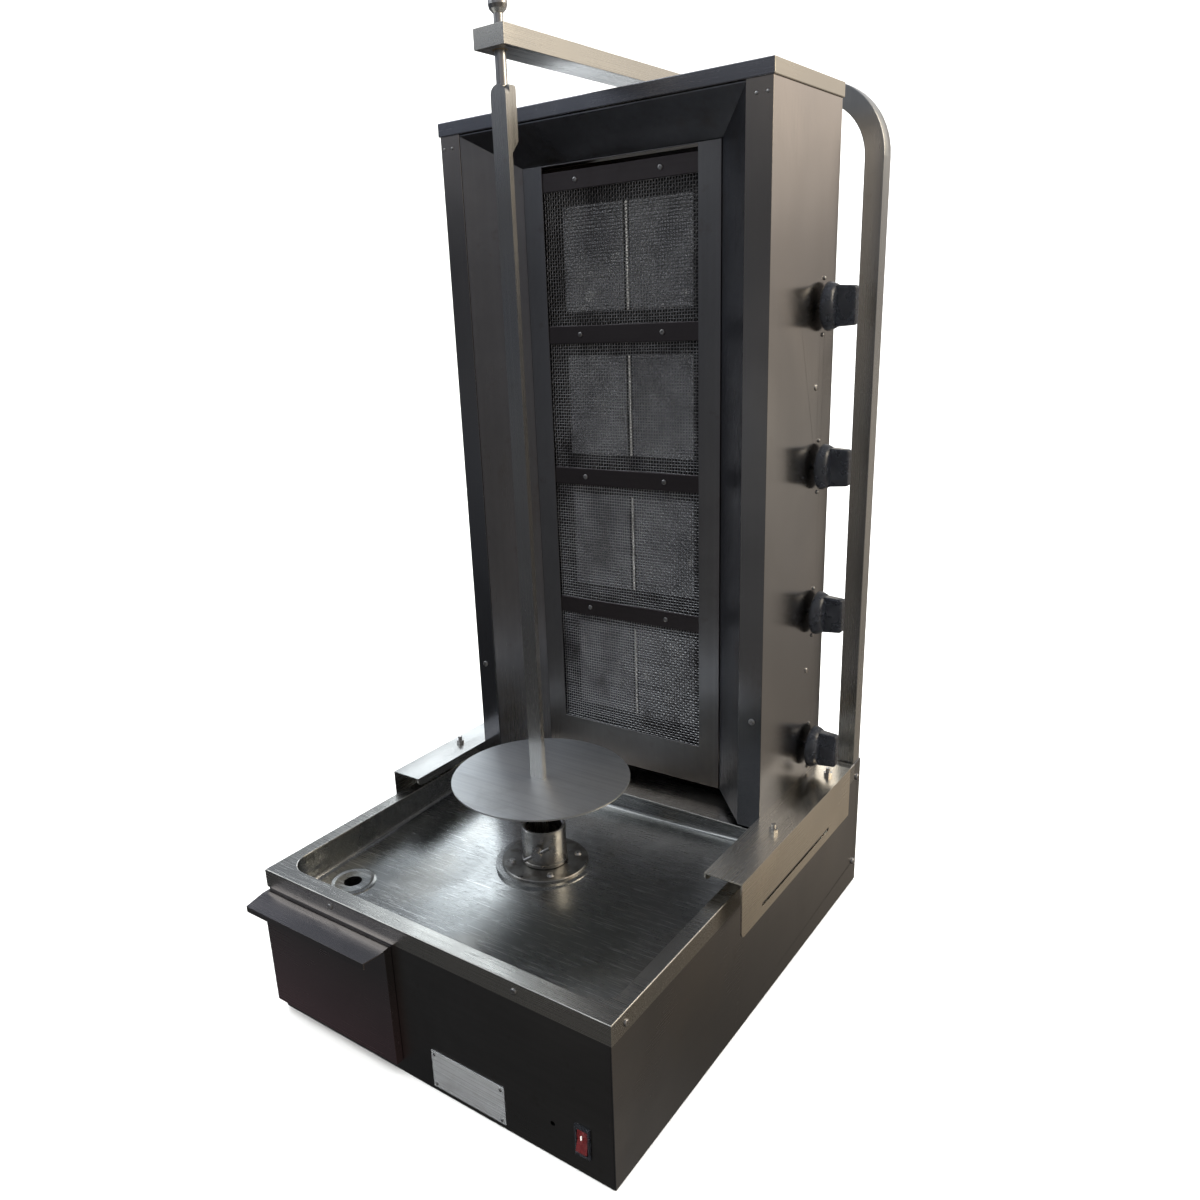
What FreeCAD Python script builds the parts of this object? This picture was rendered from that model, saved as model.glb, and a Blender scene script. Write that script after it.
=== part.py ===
import FreeCAD, Part
import math
import os
import re

import Sketcher

# Vertical rotisserie broiler: a gas doner grill with four stacked infrared burners.
#
# Row frame: +X to the operator's right, +Y to the back, +Z up. The origin is under the middle of
# the whole machine, on the surface that it stands on. Millimetres throughout.
# Lengths called "depth" are measured back from the front face of the tray's rim.

DIMENSIONS = {
    # base casing
    "base_width": 524, "base_depth": 695, "base_top": 211, "foot_height": 2, "foot_radius": 14,
    "gauge": 1.5, "handle_reach": 36, "gland_reach": 12,
    # drip tray
    "rim_overhang": 1.5, "rim_drop": 25, "tray_rear": 666, "basin_half": 245, "basin_front": 22,
    "basin_rear": 412, "basin_depth": 31.5, "basin_tilt": 2.2, "basin_corner": 30, "basin_heel": 8,
    "rim_bend": 1.3,
    "drain_x": -196, "drain_depth": 84, "drain_radius": 31, "drain_bore": 12,
    # spit drive on the tray floor
    "spit_depth": 247.5, "pad_rise": 2.5, "pad_radius": 65.5, "hub_hole": 33, "flange_radius": 57,
    "flange_thickness": 3, "hub_bolt_circle": 88, "shaft_radius": 12.5, "cup_radius": 29,
    "cup_bore": 24, "cup_bottom": 186, "cup_floor": 195, "cup_top": 236, "lock_height": 213,
    "tommy_half": 20, "lock_turn": 23, "hub_screw_bore": 2.6, "gearbox_half": 45, "gearbox_low": 95,
    "gearbox_top": 145, "motor_radius": 32, "motor_length": 90, "motor_height": 118,
    # spit
    "skewer_width": 20, "skewer_thickness": 7, "skewer_front": 8, "skewer_top": 1101,
    "boss_height": 65, "boss_thickness": 11, "disc_radius": 115, "disc_top": 305,
    "disc_thickness": 2, "pin_radius": 6, "pin_neck": 5, "pin_tip": 1076.5, "pin_top": 1190,
    # hoop and arm
    "hoop_tube_size": 25, "hoop_wall": 2, "hoop_half": 260.5, "hoop_depth": 668, "hoop_foot": 12,
    "hoop_top": 1133, "hoop_bend": 98, "arm_width": 40, "arm_height": 20, "arm_front": 229,
    "arm_bolt_x": 12, "bush_radius": 8,
    # drawer and switch on the front
    "drawer_left": -262, "drawer_right": -42, "drawer_low": 20, "drawer_high": 182,
    "drawer_stand": 10, "pan_left": -250, "pan_right": -56, "pan_low": 22, "pan_high": 143,
    "pan_depth": 300, "pan_gauge": 1.2, "switch_x": 222.5, "switch_z": 45.5, "plate_left": 8,
    "plate_right": 117, "plate_low": 8, "plate_high": 60,
    # burner tower
    "tower_half": 231, "tower_front": 406, "tower_rear": 600, "tower_low": 218,
    "tower_top": 1111.5, "cap_drop": 16.5, "strip_width": 31.5, "shield_depth": 465,
    "frame_front": 463, "frame_half": 143, "frame_low": 229, "frame_high": 1051,
    "window_half": 113, "window_low": 286, "window_height": 166, "crossbar_height": 23,
    "tile_width": 92, "tile_height": 132, "tile_thickness": 13, "tile_front": 484,
    "tile_gap": 4.5, "plenum_rear": 535, "plenum_half": 74.5, "flange_half": 94.4, "chamber_half": 88,
    "venturi_depth": 556, "venturi_drop": 45, "venturi_x": -40, "venturi_radius": 14, "venturi_bore": 12.5,
    # rails under the tower
    "rail_outer": 280, "rail_top": 236.5, "rail_front": 254, "rail_gauge": 2, "rail_lip": 12,
    "rail_skirt": 74, "slot_front": 310, "block_inner": 252, "block_outer": 270,
    "slot_rear": 524, "slot_z": 178, "slot_height": 5,
    "rail_bolt_x": 261, "rail_bolt_front": 382, "rail_bolt_rear": 564,
    "strip_screw_height": 368, "rivet_depth": 547, "rivet_low": 393, "rivet_high": 767,
    # gas controls on the right side
    "knob_depth": 562, "knob_low": 277, "knob_pitch": 195, "knob_radius": 29, "knob_gap": 6,
    "stem_radius": 3.95, "manifold_x": 198, "manifold_depth": 585, "inlet_z": 262,
    "inlet_radius": 10.48, "pipe_radius": 9, "grip_half": 25,
    # wiring in the base
    "terminal_left": 124, "terminal_pitch": 14, "terminal_front": 568, "gland_x": 200, "gland_z": 60,
}
FRONT = "(handle_reach - base_depth - gland_reach) / 2"
BURNERS = range(4)
SIDES = (-1, 1)

doc = FreeCAD.newDocument("vertical_rotisserie_broiler")
sheet = doc.addObject("Spreadsheet::Sheet", "dims")
for row, (alias, value) in enumerate(DIMENSIONS.items(), start=1):
    sheet.set(f"A{row}", alias)
    sheet.set(f"B{row}", str(value))
    sheet.setAlias(f"B{row}", alias)
doc.recompute()
nodes = []


# ---------------------------------------------------------------- small building helpers
def formula(text):
    """An expression whose dimension names are read from the sheet."""
    return re.sub(r"[a-z_]+", lambda word: "dims." + word[0] if word[0] in DIMENSIONS else word[0],
                  str(text))


def size_of(text):
    """The number that a formula comes to, for shapes that take no expression."""
    probe = doc.getObject("probe") or doc.addObject("App::FeaturePython", "probe")
    if not hasattr(probe, "Value"):
        probe.addProperty("App::PropertyFloat", "Value")
    probe.setExpression("Value", formula(text))
    probe.recompute()
    return float(probe.Value)


def node(item, label):
    """Register a finished sub-part under the name of its file."""
    item.Label = label
    nodes.append(item)
    return item


def move(item, x=0, y=0, z=0):
    for axis, value in zip("xyz", (x, y, z)):
        item.setExpression(f"Placement.Base.{axis}", formula(value))
    return item


def local_block(x, y, z):
    """A box between two values on each axis."""
    item = doc.addObject("Part::Box", "block")
    for prop, (low, high) in zip(("Length", "Width", "Height"), (x, y, z)):
        item.setExpression(prop, formula(f"({high}) - ({low})"))
    return move(item, x[0], y[0], z[0])


def block(x, depth, z):
    """A box in the row frame, its front and back given as depths behind the rim."""
    return local_block(x, [f"{FRONT} + {value}" for value in depth], z)


TURN = {"z": FreeCAD.Rotation(), "x": FreeCAD.Rotation(FreeCAD.Vector(0, 1, 0), 90),
        "y": FreeCAD.Rotation(FreeCAD.Vector(1, 0, 0), -90)}


def local_rod(radius, length, axis="z", x=0, y=0, z=0):
    """A cylinder that starts at a point and runs along +axis."""
    item = doc.addObject("Part::Cylinder", "rod")
    item.setExpression("Radius", formula(radius))
    item.setExpression("Height", formula(length))
    item.Placement = FreeCAD.Placement(FreeCAD.Vector(), TURN[axis])
    return move(item, x, y, z)


def rod(radius, length, axis="z", x=0, depth=0, z=0):
    return local_rod(radius, length, axis, x, f"{FRONT} + {depth}", z)


def cone(radius_low, radius_high, length, axis="z", x=0, depth=0, z=0):
    item = doc.addObject("Part::Cone", "cone")
    item.setExpression("Radius1", formula(radius_low))
    item.setExpression("Radius2", formula(radius_high))
    item.setExpression("Height", formula(length))
    item.Placement = FreeCAD.Placement(FreeCAD.Vector(), TURN[axis])
    return move(item, x, f"{FRONT} + {depth}", z)


def hexagon(radius, length, x, depth, z):
    """A hexagonal head or nut that stands up from z."""
    item = doc.addObject("Part::Prism", "hexagon")
    item.Polygon = 6
    item.setExpression("Circumradius", formula(radius))
    item.setExpression("Height", formula(length))
    return move(item, x, f"{FRONT} + {depth}", z)


def join(*items):
    item = doc.addObject("Part::MultiFuse", "join")
    item.Shapes = list(items)
    return item


def group(*items):
    """Separate solids that share one node."""
    item = doc.addObject("Part::Compound", "group")
    item.Links = list(items)
    return item


def cut(base, *tools):
    item = doc.addObject("Part::Cut", "cut")
    item.Base = base
    item.Tool = tools[0] if len(tools) == 1 else join(*tools)
    return item


def mirror(source):
    """The left-hand twin of a right-hand piece."""
    item = doc.addObject("Part::Mirroring", "mirror")
    item.Source = source
    item.Base = (0, 0, 0)
    item.Normal = (1, 0, 0)
    return item


def round_edges(base, radius, chosen):
    """A fillet on the edges for which chosen(edge) is true."""
    doc.recompute()
    item = doc.addObject("Part::Fillet", "rounded")
    item.Base = base
    amount = size_of(radius)
    item.Edges = [(number, amount, amount) for number, edge in enumerate(base.Shape.Edges, start=1)
                  if chosen(edge)]
    return item


def in_top_plane(base):
    """Picks the edges that lie in the top face."""
    doc.recompute()
    top = base.Shape.BoundBox.ZMax
    return lambda edge: edge.BoundBox.ZMin > top - 1e-3


def runs_along(axis):
    def test(edge):
        if edge.Curve.TypeId != "Part::GeomLine":
            return False
        return abs(abs(getattr(edge.Curve.Direction, axis)) - 1) < 1e-6
    return test


def common(first, second):
    item = doc.addObject("Part::Common", "common")
    item.Base = first
    item.Tool = second
    return item


def touches_only_low_face(base):
    """Picks the edges round the face that looks most nearly straight down."""
    doc.recompute()
    low_face = min(base.Shape.Faces, key=lambda face: face.normalAt(0, 0).z)
    return lambda edge: any(edge.isSame(rim) for rim in low_face.Edges)


def origin_plane(body, role):
    return next(item for item in body.Origin.OriginFeatures if item.Role == role)


def outline(body, role, points, offset=0):
    """A closed sketch through points, each held to the sketch's origin by two bound distances."""
    sketch = body.newObject("Sketcher::SketchObject", "outline")
    sketch.AttachmentSupport = [(origin_plane(body, role), "")]
    sketch.MapMode = "FlatFace"
    if offset:
        sketch.setExpression("AttachmentOffset.Base.z", formula(offset))
    places = [FreeCAD.Vector(size_of(x), size_of(y), 0) for x, y in points]
    count = len(places)
    for index in range(count):
        sketch.addGeometry(Part.LineSegment(places[index], places[(index + 1) % count]), False)
    for index in range(count):
        sketch.addConstraint(Sketcher.Constraint("Coincident", index, 2, (index + 1) % count, 1))
    for index, (x, y) in enumerate(points):
        for kind, value, text in (("DistanceX", places[index].x, x), ("DistanceY", places[index].y, y)):
            number = sketch.addConstraint(Sketcher.Constraint(kind, -1, 1, index, 1, value))
            sketch.setExpression(f"Constraints[{number}]", formula(text))
    return sketch


def prism(role, points, length, x=0, y=0, z=0, backwards=False):
    """A padded outline: XY_Plane pads up, YZ_Plane to +X, XZ_Plane to -Y or backwards to +Y."""
    body = doc.addObject("PartDesign::Body", "body")
    pad = body.newObject("PartDesign::Pad", "pad")
    pad.Profile = outline(body, role, points)
    pad.setExpression("Length", formula(length))
    pad.Reversed = backwards
    body.Tip = pad
    return move(body, x, y, z)


def turned(points, x=0, y=0, z=0, axis="z"):
    """A lathe-turned body: each point is a radius and a place along the axis."""
    body = doc.addObject("PartDesign::Body", "body")
    sketch = outline(body, "XZ_Plane", points)
    spin = body.newObject("PartDesign::Revolution", "spin")
    spin.Profile = sketch
    spin.ReferenceAxis = (sketch, ["V_Axis"])
    spin.Angle = 360
    body.Tip = spin
    body.Placement = FreeCAD.Placement(FreeCAD.Vector(), TURN[axis])
    return move(body, x, y, z)


def wall_loft(near, far, near_depth, far_depth):
    """A wall that changes evenly from one outline in the XZ plane to another behind it."""
    body = doc.addObject("PartDesign::Body", "body")
    first = outline(body, "XZ_Plane", near, f"-({near_depth})")
    second = outline(body, "XZ_Plane", far, f"-({far_depth})")
    loft = body.newObject("PartDesign::AdditiveLoft", "loft")
    loft.Profile = first
    loft.Sections = [second]
    loft.Ruled = True
    body.Tip = loft
    return move(body, 0, FRONT, 0)


# ---------------------------------------------------------------- base casing
CASING = "base_width / 2"
INSIDE = f"({CASING} - gauge)"
FLOOR = "(base_top - basin_depth)"
LEG_MIDDLE = "(hoop_depth + hoop_tube_size / 2)"
LEG_BOLT_HEIGHTS = (40, 184)


def base_panels():
    bolt_holes = [rod(3, 6, "x", f"{CASING} - 4", LEG_MIDDLE, height) for height in LEG_BOLT_HEIGHTS]
    right = cut(block((INSIDE, CASING), ("rim_overhang", "base_depth"),
                      ("foot_height", "base_top - gauge")), *bolt_holes)
    node(right, "base_side_right")
    node(mirror(right), "base_side_left")

    front = block((f"-{INSIDE}", INSIDE), ("rim_overhang", "rim_overhang + gauge"),
                  ("foot_height", "base_top - gauge"))
    drawer_gap = block(("pan_left - 4", "pan_right + 4"), (0, 6), ("pan_low - 3", "pan_high + 8"))
    switch_gap = block(("switch_x - 8.4", "switch_x + 8.4"), (0, 6), ("switch_z - 17.2", "switch_z + 17.2"))
    pilot_gap = rod(3, 6, "y", "switch_x - 39.5", 0, "switch_z + 1.5")
    node(cut(front, drawer_gap, switch_gap, pilot_gap), "front_panel")

    rear = block((f"-{INSIDE}", INSIDE), ("base_depth - gauge", "base_depth"),
                 ("foot_height", "base_top - gauge"))
    vents = [block((f"{60 * side} - 40", f"{60 * side} + 40"), ("base_depth - 4", "base_depth + 2"),
                   (f"90 + {14 * step}", f"94 + {14 * step}")) for side in SIDES for step in range(5)]
    node(cut(rear, rod(8, 8, "y", "gland_x", "base_depth - 5", "gland_z"), *vents), "rear_panel")

    plate = block((f"-{INSIDE}", INSIDE), ("rim_overhang + gauge", "base_depth - gauge"),
                  ("foot_height", "foot_height + gauge"))
    slots = [block((-60, 60), (f"{180 + 24 * step}", f"{186 + 24 * step}"), (0, 10)) for step in range(6)]
    node(cut(plate, *slots), "bottom_plate")

    feet = [rod("foot_radius", "foot_height", "z", 225 * side, depth, 0)
            for side in SIDES for depth in (40, 655)]
    node(group(*feet), "rubber_feet")


DOWNHILL = math.atan2(DIMENSIONS["drain_depth"] - DIMENSIONS["spit_depth"], DIMENSIONS["drain_x"])


def level_to_floor():
    """The turn from level to the basin floor, which falls towards the drain."""
    across = FreeCAD.Vector(math.sin(DOWNHILL), -math.cos(DOWNHILL), 0)
    return FreeCAD.Rotation(across, -size_of("basin_tilt"))


def rounded_basin(grow):
    """The basin as a solid: upright walls, rounded corners and a floor that falls to the drain."""
    half = f"(basin_half + {grow})"
    walls = block((f"-{half}", half), (f"basin_front - {grow}", f"basin_rear + {grow}"),
                  ("base_top - 80", f"base_top + 1 - {grow} / gauge"))
    walls = round_edges(walls, f"basin_corner + {grow}", runs_along("z"))
    floor = group(local_block((-450, 450), (-450, 450), (0, 200)))
    floor.Placement = FreeCAD.Placement(FreeCAD.Vector(), level_to_floor())
    move(floor, 0, f"{FRONT} + spit_depth", f"{FLOOR} - {grow}")
    basin = common(walls, floor)
    return round_edges(basin, f"basin_heel + {grow}", touches_only_low_face(basin))


def hub_bolt_places():
    for quarter in range(4):
        angle = math.radians(45 + 90 * quarter)
        yield (f"hub_bolt_circle / 2 * {math.cos(angle):.6f}",
               f"spit_depth + hub_bolt_circle / 2 * {math.sin(angle):.6f}")


def drip_tray():
    lid = cut(block((f"-({CASING} + rim_overhang)", f"{CASING} + rim_overhang"), (0, "tray_rear"),
                    ("base_top - rim_drop", "base_top")),
              block((f"-{CASING}", CASING), ("rim_overhang", "tray_rear + 1"),
                    ("base_top - rim_drop - 1", "base_top - gauge")))
    tongue_half = "(hoop_half - hoop_tube_size - 1)"
    tongue = block((f"-{tongue_half}", tongue_half), ("tray_rear - 1", "base_depth - gauge"),
                   ("base_top - gauge", "base_top"))
    pressed = cut(join(lid, tongue, rounded_basin("gauge")), rounded_basin(0))
    pressed = round_edges(pressed, "rim_bend", in_top_plane(pressed))
    top = f"({FLOOR} + pad_rise)"
    pressed = cut(pressed, rod("pad_radius", 20, "z", 0, "spit_depth", top))
    pad = rod("pad_radius", "pad_rise + gauge + 3", "z", 0, "spit_depth", f"{FLOOR} - gauge - 3")
    below = rod("pad_radius - gauge", "pad_rise + 6", "z", 0, "spit_depth", f"{FLOOR} - gauge - 6")
    holes = [rod("hub_screw_bore", 30, "z", x, depth, f"{FLOOR} - 12") for x, depth in hub_bolt_places()]
    node(cut(join(pressed, pad), below, rod("hub_hole", 40, "z", 0, "spit_depth", f"{FLOOR} - 20"),
             rod("drain_bore + 3", 60, "z", "drain_x", "drain_depth", "base_top - 80"), *holes), "drip_tray")

    spout = [("drain_bore", -18), ("drain_bore + 1.5", -18), ("drain_bore + 1.5", 0), ("drain_radius", 0),
             ("drain_radius", 1.2), ("drain_radius - 3", 2.6), ("drain_radius - 7", 1.2), ("drain_bore", 1.2)]
    outlet = turned(spout)
    outlet.Placement = FreeCAD.Placement(FreeCAD.Vector(), level_to_floor())
    fall = f"sqrt(drain_x^2 + (spit_depth - drain_depth)^2) * {math.tan(math.radians(1)):.6f} * basin_tilt"
    node(move(outlet, "drain_x", f"{FRONT} + drain_depth", f"{FLOOR} - {fall}"), "drain_outlet")


def small_front_parts():
    node(block(("plate_left", "plate_right"), ("rim_overhang - 1", "rim_overhang"),
               ("plate_low", "plate_high")), "nameplate")
    rivets = [rod(2.2, 1.2, "y", x, "rim_overhang - 2.2", z)
              for x in ("plate_left + 5", "plate_right - 5") for z in ("plate_low + 5", "plate_high - 5")]
    rim_heads = [rod(4, 1.8, "y", 142 * side, -1.8, "base_top - 12") for side in SIDES]
    side_heads = []
    leg_bolts = []
    top_bolts = []
    for side in SIDES:
        outward = 1 if side > 0 else -1
        start = "0" if side > 0 else "1.8"
        side_heads.append(rod(4, 1.8, "x", f"{outward} * ({CASING} + rim_overhang) - {start}", 27,
                              "base_top - 14"))
        for height in LEG_BOLT_HEIGHTS:
            low = CASING if side > 0 else f"-({CASING}) - 3"
            shank = INSIDE if side > 0 else f"-({CASING})"
            leg_bolts.append(join(rod(5, 3, "x", low, LEG_MIDDLE, height),
                                  rod(2.9, "gauge", "x", shank, LEG_MIDDLE, height)))
        top_bolts.append(hexagon(6, 4.5, 200 * side, 652, "base_top"))
    node(group(*rivets, *rim_heads, *side_heads, *leg_bolts, *top_bolts), "casing_fasteners")


def drawer_runners():
    near = "rim_overhang + gauge"
    left = join(block((f"-{INSIDE}", f"-{INSIDE} + 1.5"), (near, "pan_depth + 10"), ("pan_low - 2", 50)),
                block((f"-{INSIDE}", "pan_left + 10"), (near, "pan_depth + 10"),
                      ("pan_low - 2", "pan_low - 0.5")))
    right = join(block(("pan_right + 6", "pan_right + 7.5"), (near, "pan_depth + 10"),
                       ("foot_height + gauge", 50)),
                 block(("pan_right - 10", "pan_right + 7.5"), (near, "pan_depth + 10"),
                       ("pan_low - 2", "pan_low - 0.5")))
    node(group(left, right), "drawer_runners")


def drawer():
    pan = cut(block(("pan_left", "pan_right"), ("rim_overhang - 0.5", "pan_depth"), ("pan_low", "pan_high")),
              block(("pan_left + pan_gauge", "pan_right - pan_gauge"),
                    ("rim_overhang - 0.5 + pan_gauge", "pan_depth - pan_gauge"),
                    ("pan_low + pan_gauge", "pan_high + 5")))
    node(pan, "drawer_pan")
    back = "rim_overhang - 0.5"
    face = "-drawer_stand"
    tip = "-handle_reach"
    profile = [(back, "drawer_high"), (f"{face} + 1", "drawer_high"), (tip, "drawer_high - 5"),
               (tip, "drawer_high - 13.5"), (f"{tip} + gauge", "drawer_high - 13.5"),
               (f"{tip} + gauge", "drawer_high - 6.3"), (face, "drawer_high - 1.7"),
               (face, "drawer_low"), (back, "drawer_low"), (back, "drawer_low + gauge"),
               (f"{face} + gauge", "drawer_low + gauge"), (f"{face} + gauge", "drawer_high - gauge"),
               (back, "drawer_high - gauge")]
    front = prism("YZ_Plane", profile, "drawer_right - drawer_left", "drawer_left", FRONT, 0)
    ends = [block(x, (face, back), ("drawer_low", "drawer_high"))
            for x in (("drawer_left", "drawer_left + gauge"), ("drawer_right - gauge", "drawer_right"))]
    triangle = [("drawer_right + 1", "-drawer_stand - 1"), ("drawer_right + 1", "-handle_reach - 2"),
                ("drawer_right - 9", "-handle_reach - 2")]
    snip = prism("XY_Plane", triangle, 40, 0, FRONT, "drawer_high - 30")
    node(cut(join(front, *ends), snip), "drawer_front")


def rocker_switch():
    def shell(half_width, half_height, front, back):
        return block((f"switch_x - {half_width}", f"switch_x + {half_width}"), (front, back),
                     (f"switch_z - {half_height}", f"switch_z + {half_height}"))
    housing = cut(join(shell(9.5, 19.5, "rim_overhang - 2.5", "rim_overhang"),
                       shell(8.2, 17, "rim_overhang", "rim_overhang + 27")),
                  shell(7, 15.5, -4, 16))
    node(housing, "switch_housing")
    face = [(-5, -13.6), (-8, -13.2), (-5.8, 0), (-8, 13.2), (-5, 13.6), (4, 3), (4, -3)]
    rocker = prism("YZ_Plane", face, 13.4)
    rocker.Placement = FreeCAD.Placement(FreeCAD.Vector(), FreeCAD.Rotation(FreeCAD.Vector(1, 0, 0), -8))
    node(move(rocker, "switch_x - 6.7", f"{FRONT} + 6", "switch_z"), "switch_rocker")


# ---------------------------------------------------------------- spit drive, spit and hoop
def spit_drive():
    gearbox = block(("-gearbox_half", "gearbox_half"),
                    ("spit_depth - gearbox_half", "spit_depth + gearbox_half"), ("gearbox_low", "gearbox_top"))
    motor_rear = "spit_depth + gearbox_half + motor_length"
    motor = rod("motor_radius", "motor_length", "y", 0, "spit_depth + gearbox_half", "motor_height")
    fan_cover = rod("motor_radius - 5", 12, "y", 0, motor_rear, "motor_height")
    node(cut(join(gearbox, motor, fan_cover), rod("shaft_radius + 0.08", 60, "z", 0, "spit_depth", 100)),
         "gear_motor")

    under_pad = f"({FLOOR} + pad_rise - gauge)"
    shelf = block(("-gearbox_half - 3", "gearbox_half + 3"),
                  ("spit_depth - gearbox_half - 3", "spit_depth + 43"), ("gearbox_top", "gearbox_top + 3"))
    posts = [rod(6, f"{under_pad} - gearbox_top - 2", "z", x, depth, "gearbox_top + 2")
             for x, depth in hub_bolt_places()]
    tapped = [rod("hub_screw_bore", 20, "z", x, depth, f"{under_pad} - 14") for x, depth in hub_bolt_places()]
    node(cut(join(shelf, *posts), rod(14, 20, "z", 0, "spit_depth", 140), *tapped), "motor_bracket")

    seat = f"({FLOOR} + pad_rise)"
    profile = [("shaft_radius + 0.05", 150), ("hub_hole - 1.5", 150), ("hub_hole - 1.5", seat),
               ("flange_radius", seat), ("flange_radius", f"{seat} + flange_thickness - 1"),
               ("flange_radius - 1", f"{seat} + flange_thickness"),
               ("shaft_radius + 0.05", f"{seat} + flange_thickness")]
    flange = turned(profile, 0, f"{FRONT} + spit_depth", 0)
    holes = [rod("hub_screw_bore", 20, "z", x, depth, f"{FLOOR} - 5") for x, depth in hub_bolt_places()]
    node(cut(flange, *holes), "hub_flange")

    screws = []
    for x, depth in hub_bolt_places():
        top = f"{seat} + flange_thickness"
        head = cone(5, 3.6, 2.8, "z", x, depth, top)
        shank = rod(2.5, 15, "z", x, depth, f"{top} - 15")
        slot = block((f"{x} - 6", f"{x} + 6"), (f"{depth} - 0.6", f"{depth} + 0.6"),
                     (f"{top} + 1.7", f"{top} + 5"))
        screws.append(cut(join(head, shank), slot))
    node(group(*screws), "hub_screws")


def spit():
    axis = f"{FRONT} + spit_depth"
    profile = [("shaft_radius", "cup_bottom"), ("cup_radius + 1.5", "cup_bottom"),
               ("cup_radius + 1.5", "cup_bottom + 3.5"), ("cup_radius", "cup_bottom + 4.5"),
               ("cup_radius", "cup_top - 1"), ("cup_radius - 1", "cup_top"), ("cup_bore + 1.5", "cup_top"),
               ("cup_bore", "cup_top - 1.5"), ("cup_bore", "cup_floor"), ("shaft_radius", "cup_floor")]
    screw_hole = local_rod(4.05, 50, "y", 0, -50, 0)
    hole = group(screw_hole)
    hole.Placement = FreeCAD.Placement(FreeCAD.Vector(), FreeCAD.Rotation(FreeCAD.Vector(0, 0, 1),
                                                                       size_of("lock_turn")))
    move(hole, 0, axis, "lock_height")
    node(cut(turned(profile, 0, axis, 0), hole), "drive_cup")
    node(rod("shaft_radius", "cup_floor - 101", "z", 0, "spit_depth", 101), "drive_shaft")

    half = "skewer_width / 2"
    front = "spit_depth - skewer_front"
    back = "spit_depth - skewer_front + skewer_thickness"
    pin_hole = rod("pin_radius + 0.08", 80, "z", 0, "spit_depth", "pin_tip - 26.5")
    blade = join(block((f"-{half}", half), (front, back), ("cup_floor", f"skewer_top - {half}")),
                 rod(half, "skewer_thickness", "y", 0, front, f"skewer_top - {half}"))
    node(cut(blade, pin_hole), "skewer_bar")
    boss_low = "skewer_top - 1 - boss_height"
    profile = [(0, boss_low), ("boss_thickness", f"{boss_low} + 12"), ("boss_thickness", "skewer_top - 3"),
               ("boss_thickness - 2", "skewer_top - 1"), (0, "skewer_top - 1")]
    boss = prism("YZ_Plane", profile, "skewer_width", f"-{half}", f"{FRONT} + {back}", 0)
    node(cut(boss, rod("pin_radius + 0.08", 80, "z", 0, "spit_depth", "pin_tip - 26.5")), "skewer_boss")
    node(cut(rod("disc_radius", "disc_thickness", "z", 0, "spit_depth", "disc_top - disc_thickness"),
             block((f"-{half}", half), (front, back), ("disc_top - 20", "disc_top + 20"))), "skewer_disc")

    shank = local_rod(4, 22.5, "y", 0, -33.5, 0)
    head = local_rod(6.5, 12, "y", 0, -45, 0)
    bar = local_rod(2.4, "2 * tommy_half", "x", "-tommy_half", -39, 0)
    lock = join(shank, head, bar)
    tilt = FreeCAD.Rotation(FreeCAD.Vector(0, 1, 0), -31)
    swing = FreeCAD.Rotation(FreeCAD.Vector(0, 0, 1), size_of("lock_turn"))
    lock.Placement = FreeCAD.Placement(FreeCAD.Vector(), swing.multiply(tilt))
    node(move(lock, 0, axis, "lock_height"), "lock_screw")

    profile = [(0, "pin_tip"), ("pin_radius - 1.5", "pin_tip"), ("pin_radius", "pin_tip + 3"),
               ("pin_radius", "hoop_top + arm_height - 2"), ("pin_neck", "hoop_top + arm_height - 1"),
               ("pin_neck", "pin_top - 24"), ("pin_neck + 4", "pin_top - 20"),
               ("pin_neck + 5", "pin_top - 16"), ("pin_neck + 5", "pin_top - 3"),
               ("pin_neck + 3", "pin_top"), (0, "pin_top")]
    node(turned(profile, 0, axis, 0), "top_pin")


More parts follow.
